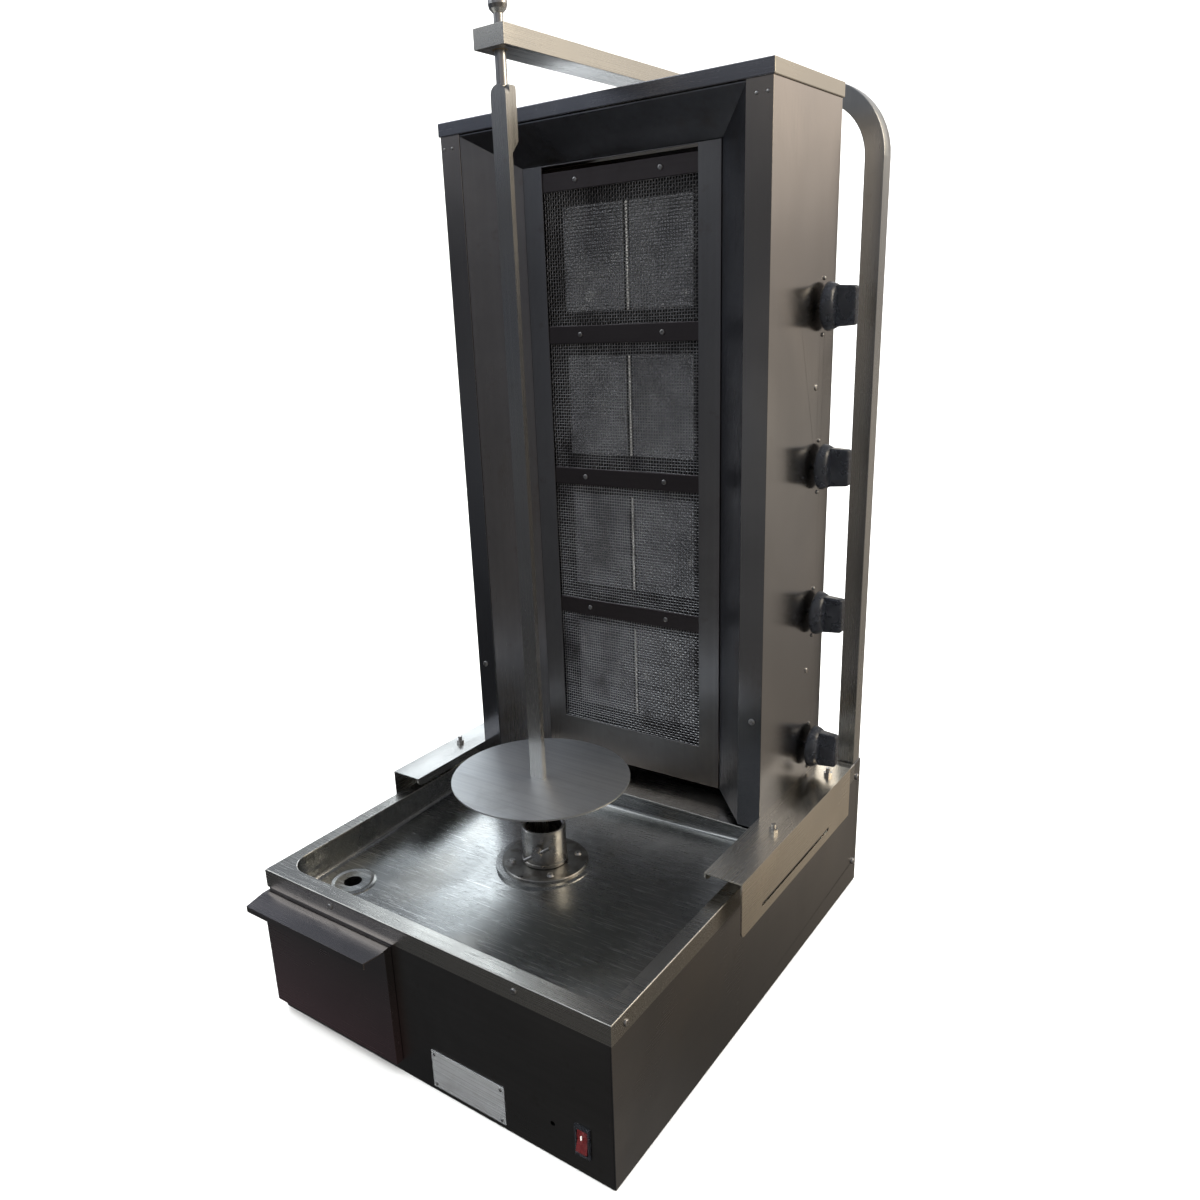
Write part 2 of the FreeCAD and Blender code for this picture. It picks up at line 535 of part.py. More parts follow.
def hoop():
    """A square tube bent over the machine, its legs standing inside the base."""
    body = doc.addObject("PartDesign::Body", "body")
    outer, inner = "hoop_half", "(hoop_half - hoop_tube_size)"
    path = body.newObject("Sketcher::SketchObject", "path")
    path.AttachmentSupport = [(origin_plane(body, "XZ_Plane"), "")]
    path.MapMode = "FlatFace"
    middle = size_of(f"({outer} + {inner}) / 2")
    bend = size_of("hoop_bend - hoop_tube_size / 2")
    top = size_of("hoop_top - hoop_tube_size / 2")
    foot = size_of("hoop_foot")
    spring = top - bend
    crown = middle - bend
    corners = [(middle, foot), (middle, spring), (crown, top), (-crown, top), (-middle, spring),
               (-middle, foot)]
    points = [FreeCAD.Vector(x, z, 0) for x, z in corners]
    diagonal = bend * math.sqrt(0.5)
    shoulder = [FreeCAD.Vector(side * (crown + diagonal), spring + diagonal, 0) for side in (1, -1)]
    arcs = [Part.Arc(points[1], shoulder[0], points[2]), Part.Arc(points[3], shoulder[1], points[4])]
    path.addGeometry([Part.LineSegment(points[0], points[1]), arcs[0], Part.LineSegment(points[2], points[3]),
                      arcs[1], Part.LineSegment(points[4], points[5])], False)
    half = "hoop_tube_size / 2"
    wall = f"({half} - hoop_wall)"
    centre = f"({outer} - {half})"

    def square(reach, name):
        ring = outline(body, "XY_Plane", [(f"{centre} + {i} * ({reach})", f"{j} * ({reach})")
                                          for i, j in ((-1, -1), (1, -1), (1, 1), (-1, 1))], "hoop_foot")
        ring.Label = name
        return ring

    solid = body.newObject("PartDesign::AdditivePipe", "solid")
    solid.Profile = square(half, "hoop_outside")
    solid.Spine = path
    body.Tip = solid
    bore = body.newObject("PartDesign::SubtractivePipe", "bore")
    bore.Profile = square(wall, "hoop_inside")
    bore.Spine = path
    body.Tip = bore
    move(body, 0, f"{FRONT} + {LEG_MIDDLE}", 0)
    holes = [rod(4.1, 40, "z", f"{side} * arm_bolt_x", LEG_MIDDLE, "hoop_top - 32") for side in SIDES]
    node(cut(body, *holes), "hoop_tube")


def top_arm():
    low, high = "hoop_top", "hoop_top + arm_height"
    rear = "hoop_depth + hoop_tube_size"
    shell = cut(block(("-arm_width / 2", "arm_width / 2"), ("arm_front", rear), (low, high)),
                block(("-arm_width / 2 + 2", "arm_width / 2 - 2"), ("arm_front + 2", f"{rear} - 2"),
                      (f"{low} + 2", f"{high} - 2")))
    holes = [rod(4.1, 40, "z", f"{side} * arm_bolt_x", LEG_MIDDLE, f"{low} - 10") for side in SIDES]
    node(cut(shell, rod("bush_radius", 40, "z", 0, "spit_depth", f"{low} - 10"), *holes), "top_arm")
    node(cut(rod("bush_radius", "arm_height + 1", "z", 0, "spit_depth", low),
             rod("pin_radius + 0.08", 60, "z", 0, "spit_depth", f"{low} - 10")), "pin_bush")
    bolts = []
    for side in SIDES:
        x = f"{side} * arm_bolt_x"
        under = "hoop_top - hoop_tube_size"
        bolts.append(join(rod(4, "arm_height + hoop_tube_size + 9", "z", x, LEG_MIDDLE, f"{under} - 9"),
                          hexagon(7.5, 5.3, x, LEG_MIDDLE, high),
                          hexagon(7.5, 6.5, x, LEG_MIDDLE, f"{under} - 6.5")))
    node(group(*bolts), "arm_bolts")


def wiring_parts():
    profile = [(4.5, -9), (12, -9), (12, -4), (7.9, -4), (7.9, 0), (11, 0), (11, 6),
               (9.5, "gland_reach"), (4.5, "gland_reach")]
    gland = turned(profile, "gland_x", f"{FRONT} + base_depth", "gland_z", "y")
    node(gland, "cable_gland")
    stand = "foot_height + gauge"
    tray = block(("terminal_left - 4", "terminal_left + 60"), ("terminal_front - 8", "terminal_front + 36"),
                 (stand, f"{stand} + 4"))
    blocks = []
    for step in range(4):
        left = f"terminal_left + {step} * terminal_pitch"
        body = block((left, f"{left} + 11"), ("terminal_front", "terminal_front + 28"),
                     (f"{stand} + 4", f"{stand} + 24"))
        blocks.append(cut(body, rod(2.5, 12, "z", f"{left} + 5.5", "terminal_front + 14", f"{stand} + 16")))
    node(group(tray, *blocks), "terminal_block")


# ---------------------------------------------------------------- burner tower
RAIL_INNER = "tower_half"
FRAME_REAR = "(tile_front + 1)"
SKIN = "(frame_front + gauge)"


def window_low(step):
    return f"(window_low + {step} * (window_height + crossbar_height))"


def burner_middle(step):
    return f"({window_low(step)} + window_height / 2)"


def knob_height(step):
    return f"(knob_low + {step} * knob_pitch)"


def rails():
    profile = [(RAIL_INNER, "rail_top - rail_lip"), (RAIL_INNER, "rail_top"), ("rail_outer", "rail_top"),
               ("rail_outer", "rail_top - rail_skirt"), ("rail_outer - rail_gauge", "rail_top - rail_skirt"),
               ("rail_outer - rail_gauge", "rail_top - rail_gauge"),
               (f"{RAIL_INNER} + rail_gauge", "rail_top - rail_gauge"),
               (f"{RAIL_INNER} + rail_gauge", "rail_top - rail_lip")]
    channel = prism("XZ_Plane", profile, "tower_rear - rail_front", 0, f"{FRONT} + rail_front", 0, True)
    nose = size_of(f"{FRONT} + rail_front")

    def lower_front_corner(edge):
        box = edge.BoundBox
        return (runs_along("x")(edge) and box.YMax < nose + 0.01
                and box.ZMax < size_of("rail_top - rail_lip") + 0.01)

    channel = round_edges(channel, 8, lower_front_corner)
    reach = ("rail_outer - 6", "rail_outer + 2")
    ends = [rod("slot_height / 2", 8, "x", reach[0], depth, "slot_z")
            for depth in ("slot_front + slot_height / 2", "slot_rear - slot_height / 2")]
    middle = block(reach, ("slot_front + slot_height / 2", "slot_rear - slot_height / 2"),
                   ("slot_z - slot_height / 2", "slot_z + slot_height / 2"))
    holes = [rod(3.1, 10, "z", "rail_bolt_x", depth, "rail_top - 6")
             for depth in ("rail_bolt_front", "rail_bolt_rear")]
    right = cut(channel, join(middle, *ends), *holes)
    node(right, "rail_right")
    node(mirror(right), "rail_left")

    blocks, bolts = [], []
    for side in SIDES:
        low, high = ("block_inner", "block_outer") if side > 0 else ("-block_outer", "-block_inner")
        for depth in ("rail_bolt_front", "rail_bolt_rear"):
            x = f"{side} * rail_bolt_x"
            blocks.append(cut(block((low, high), (f"{depth} - 20", f"{depth} + 20"),
                                    ("base_top + 0.3", "rail_top - rail_gauge")),
                              rod(3.1, 40, "z", x, depth, "base_top - 5")))
            bolts.append(join(rod(3, 32, "z", x, depth, "rail_top - 21"),
                              hexagon(6, 5, x, depth, "rail_top")))
    node(group(*blocks), "runner_blocks")
    node(group(*bolts), "rail_bolts")


def tower_shell():
    profile = [("tower_half - strip_width", "tower_front"), ("tower_half", "tower_front"),
               ("tower_half", "tower_rear"), ("tower_half - 20", "tower_rear"),
               ("tower_half - 20", "tower_rear - gauge"), ("tower_half - gauge", "tower_rear - gauge"),
               ("tower_half - gauge", "tower_front + gauge"),
               ("tower_half - strip_width", "tower_front + gauge")]
    height = "tower_top - gauge - tower_low"
    side = prism("XY_Plane", profile, height, 0, FRONT, "tower_low")
    node(mirror(side), "tower_side_left")
    stem_holes = [rod(7, 10, "x", "tower_half - 6", "knob_depth", knob_height(step)) for step in BURNERS]
    node(cut(prism("XY_Plane", profile, height, 0, FRONT, "tower_low"), *stem_holes), "tower_side_right")

    back = block(("-tower_half + gauge", "tower_half - gauge"),
                 ("tower_rear - 2 * gauge", "tower_rear - gauge"), ("tower_low", "tower_top - gauge"))
    vents = [block((-120, 120), ("tower_rear - 6", "tower_rear + 3"),
                   (f"{940 + 18 * step}", f"{946 + 18 * step}")) for step in range(6)]
    node(cut(back, rod("inlet_radius + 1.5", 10, "y", "manifold_x", "tower_rear - 6", "inlet_z"), *vents),
         "tower_back")

    node(cut(block(("-tower_half - 2", "tower_half + 2"), ("tower_front - 2", "tower_rear + 2"),
                   ("tower_top - cap_drop", "tower_top")),
             block(("-tower_half - 0.5", "tower_half + 0.5"), ("tower_front - 0.5", "tower_rear + 0.5"),
                   ("tower_top - cap_drop - 1", "tower_top - gauge"))), "tower_cap")


def shields():
    """Slanted reflectors that funnel from the front strips in to the burner frame."""
    near, far = "tower_front + gauge + 0.1", "shield_depth"
    wide, narrow = "(tower_half - strip_width)", "(frame_half + 0.2)"
    high, low = "(tower_top - cap_drop - 2.5)", "frame_high"
    skin = 1.2

    def side_wall(edge, bottom, top):
        return [(edge, bottom), (f"{edge} + {skin}", bottom), (f"{edge} + {skin}", f"{top} + {skin}"),
                (edge, top)]

    right = wall_loft(side_wall(wide, "tower_low", high), side_wall(narrow, "frame_low", low), near, far)
    node(right, "shield_right")
    node(mirror(right), "shield_left")

    def top_wall(edge, height):
        return [(f"-{edge}", height), (edge, height), (f"{edge} + {skin}", f"{height} + {skin}"),
                (f"-{edge} - {skin}", f"{height} + {skin}")]

    node(wall_loft(top_wall(wide, high), top_wall(narrow, low), near, far), "shield_top")


def burner_frame():
    shell = cut(block(("-frame_half", "frame_half"), ("frame_front", FRAME_REAR),
                      ("frame_low", "frame_high")),
                block(("-frame_half + gauge", "frame_half - gauge"), (SKIN, f"{FRAME_REAR} + 1"),
                      ("frame_low + gauge", "frame_high - gauge")),
                block(("-window_half", "window_half"), ("frame_front - 1", f"{SKIN} + 1"),
                      ("window_low", "frame_high - gauge")))
    node(shell, "burner_frame")
    bars, screws, meshes = [], [], []
    for step in range(1, 5):
        low = f"({window_low(step)} - crossbar_height)"
        bars.append(block(("-window_half - 7", "window_half + 7"), (f"{SKIN} + 0.1", f"{SKIN} + 1.6"),
                          (low, window_low(step))))
        for side in SIDES:
            screws.append(rod(3.4, 1.6, "y", 62 * side, f"{SKIN} - 1.5", f"{low} + crossbar_height / 2"))
    for step in BURNERS:
        meshes.append(block(("-window_half - 7", "window_half + 7"), (f"{SKIN} + 1.8", f"{SKIN} + 3"),
                            (f"{window_low(step)} - 8", f"{window_low(step)} + window_height + 8")))
    node(group(*bars), "crossbars")
    node(group(*meshes), "mesh_guards")

    strip_screws = [rod(4.2, 2, "y", f"{side} * (tower_half - 13)", "tower_front - 2", "strip_screw_height")
                    for side in SIDES]
    strip_rivets = [rod(2, 0.9, "y", f"{side} * (tower_half - {inset})", "tower_front - 0.9",
                        "tower_top - cap_drop - 15") for side in SIDES for inset in (6, 19)]
    side_rivets = []
    for z in ("rivet_low", "rivet_high"):
        side_rivets.append(rod(4.2, 1.5, "x", "tower_half", "rivet_depth", z))
        side_rivets.append(rod(4.2, 1.5, "x", "-tower_half - 1.5", "rivet_depth", z))
    node(group(*screws, *strip_screws, *strip_rivets, *side_rivets), "tower_fasteners")


def burners():
    plenums, tiles, venturis, valves = [], [], [], []
    face = "(tile_front + 1)"
    seat = "(tile_front + tile_thickness + 0.5)"
    for step in BURNERS:
        middle = burner_middle(step)
        shell = block(("-window_half - 3", "window_half + 3"), (face, "plenum_rear"),
                      (f"{middle} - plenum_half", f"{middle} + plenum_half"))
        flange = block(("-frame_half + gauge", "frame_half - gauge"), (face, f"{face} + 1.5"),
                       (f"{middle} - flange_half", f"{middle} + flange_half"))
        chamber = block(("-chamber_half", "chamber_half"), (f"{seat} - 1", "plenum_rear - 2"),
                        (f"{middle} - 60", f"{middle} + 60"))
        pockets = []
        for side in SIDES:
            low, high = ("tile_gap", "tile_gap + tile_width")
            if side < 0:
                low, high = (f"-({high})", f"-{low}")
            rows = (f"{middle} - tile_height / 2", f"{middle} + tile_height / 2")
            pockets.append(block((low, high), (f"{face} - 2", seat), rows))
            tiles.append(block((low, high), ("tile_front", "tile_front + tile_thickness"), rows))
        notch = block((-111, -104), (f"{face} - 2", f"{face} + 4"), (f"{middle} - 11", f"{middle} + 11"))
        mouth = rod("venturi_bore", 20, "y", "venturi_x", "plenum_rear - 10", f"{middle} - venturi_drop")
        plenums.append(cut(join(shell, flange), chamber, *pockets, notch, mouth))

        level = f"({middle} - venturi_drop)"
        tube = join(rod("venturi_radius", 190, "x", "venturi_x", "venturi_depth", level),
                    rod("venturi_radius", "venturi_depth - plenum_rear", "y", "venturi_x", "plenum_rear",
                        level),
                    cone("venturi_radius", 20, 15, "x", "venturi_x + 190", "venturi_depth", level))
        bore = join(rod("venturi_bore", 220, "x", "venturi_x", "venturi_depth", level),
                    rod("venturi_bore", "venturi_depth - plenum_rear + 1", "y", "venturi_x", "plenum_rear - 1",
                        level))
        venturis.append(cut(tube, bore))

        height = knob_height(step)
        body = block(("manifold_x - 8", "tower_half - gauge - 1"), ("knob_depth - 11", "knob_depth + 11"),
                     (f"{height} - 12", f"{height} + 12"))
        riser = rod(4, f"{level} - {height}", "z", 184, "venturi_depth", height)
        link = rod(4, 8, "x", 184, "venturi_depth", height)
        jet = rod(5, 14, "x", 172, "venturi_depth", level)
        stem_bore = rod("stem_radius + 0.06", 40, "x", 200, "knob_depth", height)
        valves.append(cut(join(body, riser, link, jet), stem_bore))
    node(group(*plenums), "burner_plenums")
    node(group(*tiles), "burner_tiles")
    node(group(*venturis), "venturi_tubes")
    node(group(*valves), "gas_valves")

    pipe = rod("pipe_radius", f"{knob_height(3)} + 18 - inlet_z + 8", "z", "manifold_x", "manifold_depth",
               "inlet_z - 8")
    stubs = [rod(6, "manifold_depth - knob_depth - 11", "y", "manifold_x", "knob_depth + 11",
                 knob_height(step)) for step in BURNERS]
    neck = rod(8.5, 22, "y", "manifold_x", "manifold_depth", "inlet_z")
    inlet = rod("inlet_radius", 26, "y", "manifold_x", "manifold_depth + 21", "inlet_z")
    node(cut(join(pipe, neck, inlet, *stubs), rod(7, 40, "y", "manifold_x", "manifold_depth + 8", "inlet_z")),
         "gas_manifold")


def knob(step):
    """A skirted bar knob, turned about its stem, drawn upright and laid on to the side panel."""
    height = knob_height(step)
    start = "tower_half + knob_gap"
    node(rod("stem_radius", "43.5", "x", "tower_half - 21.5", "knob_depth", height), f"knob_stem_{step + 1}")
    profile = [("stem_radius + 0.05", 0), ("knob_radius", 0), ("knob_radius", 3), ("knob_radius - 2", 10),
               ("knob_radius - 6", 13), (14, 14.5), (14, 24), (0, 24), (0, 21), ("stem_radius + 0.05", 21)]
    skirt = turned(profile, start, f"{FRONT} + knob_depth", height, "x")
    grip = block((f"{start} + 12", f"{start} + 36"), ("knob_depth - grip_half", "knob_depth + grip_half"),
                 (f"{height} - 9", f"{height} + 9"))
    grip = round_edges(grip, 7, runs_along("x"))
    stem_bore = rod("stem_radius + 0.05", 31, "x", "tower_half - 4", "knob_depth", height)
    node(cut(join(skirt, grip), stem_bore), f"knob_{step + 1}")


def export():
    doc.recompute()
    for item in doc.Objects:
        if "Invalid" in item.State or "Error" in item.State:
            raise RuntimeError(f"{item.Name} ({item.Label}) failed: {item.State}")
    os.makedirs("parts", exist_ok=True)
    for old in os.listdir("parts"):
        if old.endswith(".step"):
            os.remove(os.path.join("parts", old))
    for item in nodes:
        shape = item.Shape
        if shape.isNull() or not shape.isValid() or not shape.Solids:
            raise RuntimeError(f"{item.Label} has no valid solid")
        shape.exportStep(f"parts/{item.Label}.step")
    print(len(nodes), "nodes written")


base_panels()
drip_tray()
small_front_parts()
drawer_runners()
drawer()
rocker_switch()
spit_drive()
spit()
hoop()
top_arm()
wiring_parts()
rails()
tower_shell()
shields()
burner_frame()
burners()
for step in BURNERS:
    knob(step)
export()
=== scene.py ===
"""Vertical rotisserie broiler: finishes, fine detail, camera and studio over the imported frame."""

import math
import random

import bmesh
import bpy
from mathutils import Matrix, Vector


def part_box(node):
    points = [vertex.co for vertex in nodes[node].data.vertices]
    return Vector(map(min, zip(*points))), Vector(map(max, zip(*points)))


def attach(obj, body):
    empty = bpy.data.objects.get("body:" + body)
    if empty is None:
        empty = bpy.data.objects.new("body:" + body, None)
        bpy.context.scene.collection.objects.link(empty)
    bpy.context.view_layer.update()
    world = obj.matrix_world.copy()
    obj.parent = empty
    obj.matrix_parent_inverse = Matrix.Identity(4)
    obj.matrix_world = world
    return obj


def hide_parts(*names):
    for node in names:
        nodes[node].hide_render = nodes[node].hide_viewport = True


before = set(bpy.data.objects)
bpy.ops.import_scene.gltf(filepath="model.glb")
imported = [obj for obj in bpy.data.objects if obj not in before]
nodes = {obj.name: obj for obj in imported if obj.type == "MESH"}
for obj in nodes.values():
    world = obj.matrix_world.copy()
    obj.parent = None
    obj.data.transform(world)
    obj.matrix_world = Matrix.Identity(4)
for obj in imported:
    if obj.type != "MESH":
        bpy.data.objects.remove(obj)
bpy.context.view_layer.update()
X, Y, Z = Vector((1, 0, 0)), Vector((0, 1, 0)), Vector((0, 0, 1))


# ---------------------------------------------------------------- materials
class Finish:
    """A principled material with a few short ways to add texture to it."""

    def __init__(self, name, colour, rough=0.4, metal=0.0, **sockets):
        self.material = bpy.data.materials.new(name)
        self.material.use_nodes = True
        self.tree = self.material.node_tree
        self.shader = self.tree.nodes["Principled BSDF"]
        self.shader.inputs["Base Color"].default_value = (*colour, 1)
        self.shader.inputs["Roughness"].default_value = rough
        self.shader.inputs["Metallic"].default_value = metal
        for socket, value in sockets.items():
            self.shader.inputs[socket.replace("_", " ")].default_value = value
        self.colour = None
        self.base = colour
        self.place = self.tree.nodes.new("ShaderNodeTexCoord").outputs["Object"]
        self.height = None

    def add(self, kind, **values):
        node = self.tree.nodes.new(kind)
        for key, value in values.items():
            if key in node.inputs:
                self.feed(node.inputs[key], value)
            else:
                setattr(node, key, value)
        return node

    def feed(self, socket, value):
        if isinstance(value, bpy.types.NodeSocket):
            self.tree.links.new(value, socket)
        else:
            socket.default_value = value

    def scaled(self, scale, turn=(0, 0, 0)):
        node = self.add("ShaderNodeMapping")
        self.feed(node.inputs["Vector"], self.place)
        node.inputs["Scale"].default_value = scale
        node.inputs["Rotation"].default_value = turn
        return node.outputs["Vector"]

    def noise(self, scale, detail=3.0, rough=0.5, turn=(0, 0, 0), warp=0.0):
        """Noise in object space. The scale is per metre: one number, or one for each axis."""
        if not isinstance(scale, tuple):
            scale = (scale, scale, scale)
        node = self.add("ShaderNodeTexNoise")
        self.feed(node.inputs["Vector"], self.scaled(scale, turn))
        node.inputs["Scale"].default_value = 1
        node.inputs["Detail"].default_value = detail
        node.inputs["Roughness"].default_value = rough
        node.inputs["Distortion"].default_value = warp
        return node.outputs["Fac"]

    def spread(self, value, low, high, to_low=0.0, to_high=1.0):
        node = self.add("ShaderNodeMapRange")
        self.feed(node.inputs["Value"], value)
        for key, number in (("From Min", low), ("From Max", high), ("To Min", to_low), ("To Max", to_high)):
            node.inputs[key].default_value = number
        return node.outputs["Result"]

    def maths(self, operation, first, second=0.0):
        node = self.add("ShaderNodeMath", operation=operation)
        self.feed(node.inputs[0], first)
        self.feed(node.inputs[1], second)
        return node.outputs[0]

    def axis(self, name):
        node = self.add("ShaderNodeSeparateXYZ")
        self.feed(node.inputs[0], self.place)
        return node.outputs[name]

    def tint(self, mask, colour, blend="MIX"):
        """Colour the surface where the mask is 1."""
        node = self.add("ShaderNodeMix", data_type="RGBA", blend_type=blend)
        self.feed(node.inputs["Factor"], mask)
        if self.colour is None:
            node.inputs[6].default_value = (*self.base, 1)
        else:
            self.feed(node.inputs[6], self.colour)
        node.inputs[7].default_value = (*colour, 1)
        self.colour = node.outputs[2]
        self.feed(self.shader.inputs["Base Color"], self.colour)
        return self

    def roughness(self, value):
        self.feed(self.shader.inputs["Roughness"], value)
        return self

    def bump(self, value, depth):
        node = self.add("ShaderNodeBump")
        node.inputs["Strength"].default_value = 1.0
        node.inputs["Distance"].default_value = depth
        self.feed(node.inputs["Height"], value)
        if self.height is not None:
            self.feed(node.inputs["Normal"], self.height)
        self.height = node.outputs["Normal"]
        self.feed(self.shader.inputs["Normal"], self.height)
        return self

    def mottle(self, scale, levels, amount, colour, detail=4.0, rough=0.5, turn=(0, 0, 0)):
        """Patches of another colour that grow between two levels of a noise."""
        patches = self.noise(scale, detail, rough, turn)
        return self.tint(self.spread(patches, *levels, 0, amount), colour)

    def wear(self, scale, low, high, detail=3.0, turn=(0, 0, 0), levels=(0.3, 0.7)):
        """Roughness that changes from place to place."""
        return self.roughness(self.spread(self.noise(scale, detail, 0.5, turn), *levels, low, high))

    def grit(self, scale, depth, detail=2.0, turn=(0, 0, 0)):
        """Fine unevenness, with its depth in metres."""
        return self.bump(self.noise(scale, detail, 0.5, turn), depth)


# noise scales that stretch the fine grain and the wider streaks along the rolling direction
GRAIN = {"x": (6, 1900, 1900), "y": (1900, 6, 1900), "z": (1900, 1900, 6), "xy": (6, 6, 1900)}
STREAK = {"x": (1.2, 140, 140), "y": (140, 1.2, 140), "z": (140, 140, 1.2), "xy": (1.2, 1.2, 140)}


def steel(name, colour, grain="z", rough=(0.24, 0.40), dirt=0.35, warm=0.0, scratch=0.0, streaks=0.22,
          waves=0.004):
    """Brushed stainless sheet: fine grain, long streaks, smears and a few scratches."""
    finish = Finish(name, colour, 0.3, 1.0, Anisotropic=0.45)
    fine = finish.noise(GRAIN[grain], 2.0)
    streak = finish.noise(STREAK[grain], 4.0, 0.6)
    smear = finish.noise((5, 5, 3.5), 5.0, 0.62, warp=0.6)
    spots = finish.noise((38, 38, 38), 3.0, 0.7)
    dark = tuple(channel * 0.66 for channel in colour)
    light = tuple(min(1.0, channel * 1.28) for channel in colour)
    finish.tint(finish.spread(streak, 0.44, 0.72, 0, streaks), light)
    finish.tint(finish.spread(smear, 0.46, 0.68, 0, dirt), dark)
    brown = (colour[0] * 0.6, colour[1] * 0.52, colour[2] * 0.42)
    finish.tint(finish.spread(spots, 0.62, 0.74, 0, dirt * 0.6), brown)
    if warm:
        glow = finish.noise((3.2, 3.2, 2.2), 3.0, 0.55, warp=0.8)
        finish.tint(finish.spread(glow, 0.50, 0.66, 0, warm), (0.62, 0.47, 0.30))
    grain_part = finish.spread(fine, 0.3, 0.7, 0, 0.4)
    smear_part = finish.spread(smear, 0.35, 0.7, 0, 0.6)
    mixed = finish.maths("ADD", grain_part, smear_part)
    finish.roughness(finish.spread(mixed, 0, 1, rough[0], rough[1]))
    finish.bump(finish.noise((5.5, 5.5, 4.5), 1.5, 0.4, warp=0.3), waves)
    finish.bump(fine, 0.000012)
    if scratch:
        marks = None
        for turn, stretch in ((0.35, (7, 620, 620)), (-0.55, (9, 760, 760)), (1.15, (6, 540, 540))):
            line = finish.noise(stretch, 1.0, 0.4, (0, 0, turn), 0.3)
            line = finish.spread(line, 0.665, 0.70)
            marks = line if marks is None else finish.maths("MAXIMUM", marks, line)
        finish.tint(finish.maths("MULTIPLY", marks, scratch), (0.86, 0.86, 0.84))
        finish.bump(marks, 0.00004)
    return finish


def band(finish, axis, start, full, amount=1.0):
    """A mask that grows from 0 at one place along an axis to its full amount at another."""
    return finish.spread(finish.axis(axis), start, full, 0, amount)


# places in metres that the bands of colour follow
DRAWER_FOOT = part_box("drawer_front")[0][2]
TRAY_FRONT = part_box("drip_tray")[0][1]
TRAY_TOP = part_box("drip_tray")[1][2]
CAP_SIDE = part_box("tower_cap")[1][0]
TOWER_PAINTED_SHADE, TOWER_PAINTED_SHEEN = (0.78, 0.32), (0.72, 1.06)
FRAME_DARK_FOOT = (0.30, 0.22)


casing_front = steel("casing_front", (0.24, 0.235, 0.23), "x", (0.26, 0.42), 0.45)
casing_side = steel("casing_side", (0.27, 0.27, 0.28), "y", (0.15, 0.29), 0.3, 0.08, streaks=0.10)
# Painted reflection: the drawer's reddish colour is a painted red reflection, strongest at the foot and
# fading to grey over the lowest 13 cm; it covers the pan and runners too.
drawer_painted_reflection_steel = steel("drawer_painted_reflection_steel", (0.62, 0.42, 0.435), "x", (0.20, 0.34), 0.35, streaks=0.12)
drawer_painted_reflection_steel.tint(band(drawer_painted_reflection_steel, "Z", DRAWER_FOOT, DRAWER_FOOT + 0.13), (0.30, 0.275, 0.27))
tray_steel = steel("tray_steel", (0.42, 0.425, 0.415), "x", (0.18, 0.38), 0.42, 0.15, 0.5)
# Painted highlights: the tray's top 1.3 mm and the front face of its rim are painted lighter.
tray_steel.tint(band(tray_steel, "Z", TRAY_TOP - 0.0025, TRAY_TOP - 0.0013), (0.60, 0.585, 0.545))
tray_steel.tint(band(tray_steel, "Y", TRAY_FRONT + 0.0016, TRAY_FRONT + 0.0006), (0.62, 0.60, 0.55))
tower_steel = steel("tower_steel", (0.40, 0.395, 0.39), "z", (0.14, 0.28), 0.2, 0.12, streaks=0.10)
# Painted reflection: the tower is painted darker from 0.78 m down to 0.32 m, and warmer and lighter from 0.72
# m up to 1.06 m.
tower_steel.tint(band(tower_steel, "Z", *TOWER_PAINTED_SHADE), (0.27, 0.27, 0.28))
tower_steel.tint(band(tower_steel, "Z", *TOWER_PAINTED_SHEEN), (0.56, 0.50, 0.44))
# Painted light: the rails' bright warm colour is a painted highlight, and the left rail is painted darker as
# painted shade.
rail_painted_light_steel = steel("rail_painted_light_steel", (0.90, 0.84, 0.73), "y", (0.20, 0.34), 0.2, 0.15, streaks=0.14)
rail_painted_light_steel.tint(band(rail_painted_light_steel, "X", 0.0, -0.1), (0.50, 0.49, 0.47))
tube_steel = steel("tube_steel", (0.56, 0.56, 0.545), "z", (0.24, 0.36), 0.25)
arm_steel = steel("arm_steel", (0.66, 0.635, 0.58), "y", (0.22, 0.34), 0.15, 0.2, streaks=0.12)
cap_steel = steel("cap_steel", (0.36, 0.36, 0.38), "xy", (0.20, 0.32), 0.2, streaks=0.08)
# Painted highlight: the cap's right-hand (+X) side face is painted lighter and warmer.
cap_steel.tint(band(cap_steel, "X", CAP_SIDE - 0.0015, CAP_SIDE - 0.0005), (0.62, 0.57, 0.48))
spit_steel = steel("spit_steel", (0.58, 0.57, 0.545), "z", (0.22, 0.34), 0.35, 0.15)
shield_steel = steel("shield_steel", (0.31, 0.315, 0.335), "z", (0.24, 0.42), 0.5)
shield_steel.mottle((9, 9, 5), (0.52, 0.7), 0.55, (0.20, 0.155, 0.11), 5.0, 0.65)
frame_steel = steel("frame_steel", (0.38, 0.375, 0.375), "z", (0.26, 0.42), 0.5)
# The frame is painted darker brown towards the bottom, from 0.30 m down to 0.22 m.
frame_steel.tint(band(frame_steel, "Z", *FRAME_DARK_FOOT, 0.6), (0.20, 0.145, 0.10))
bar_steel = steel("bar_steel", (0.13, 0.115, 0.115), "x", (0.38, 0.58), 0.4)
inner_steel = steel("inner_steel", (0.10, 0.098, 0.10), "x", (0.45, 0.65), 0.4)

TURNED = (20, 20, 2600)  # lathe lines round a vertical axis

cup_steel = Finish("cup_steel", (0.46, 0.45, 0.43), 0.3, 1.0, Anisotropic=0.3)
cup_steel.mottle(50, (0.46, 0.66), 0.6, (0.27, 0.25, 0.22))
cup_steel.wear(90, 0.2, 0.42, 4.0)
cup_steel.grit(TURNED, 0.00003)

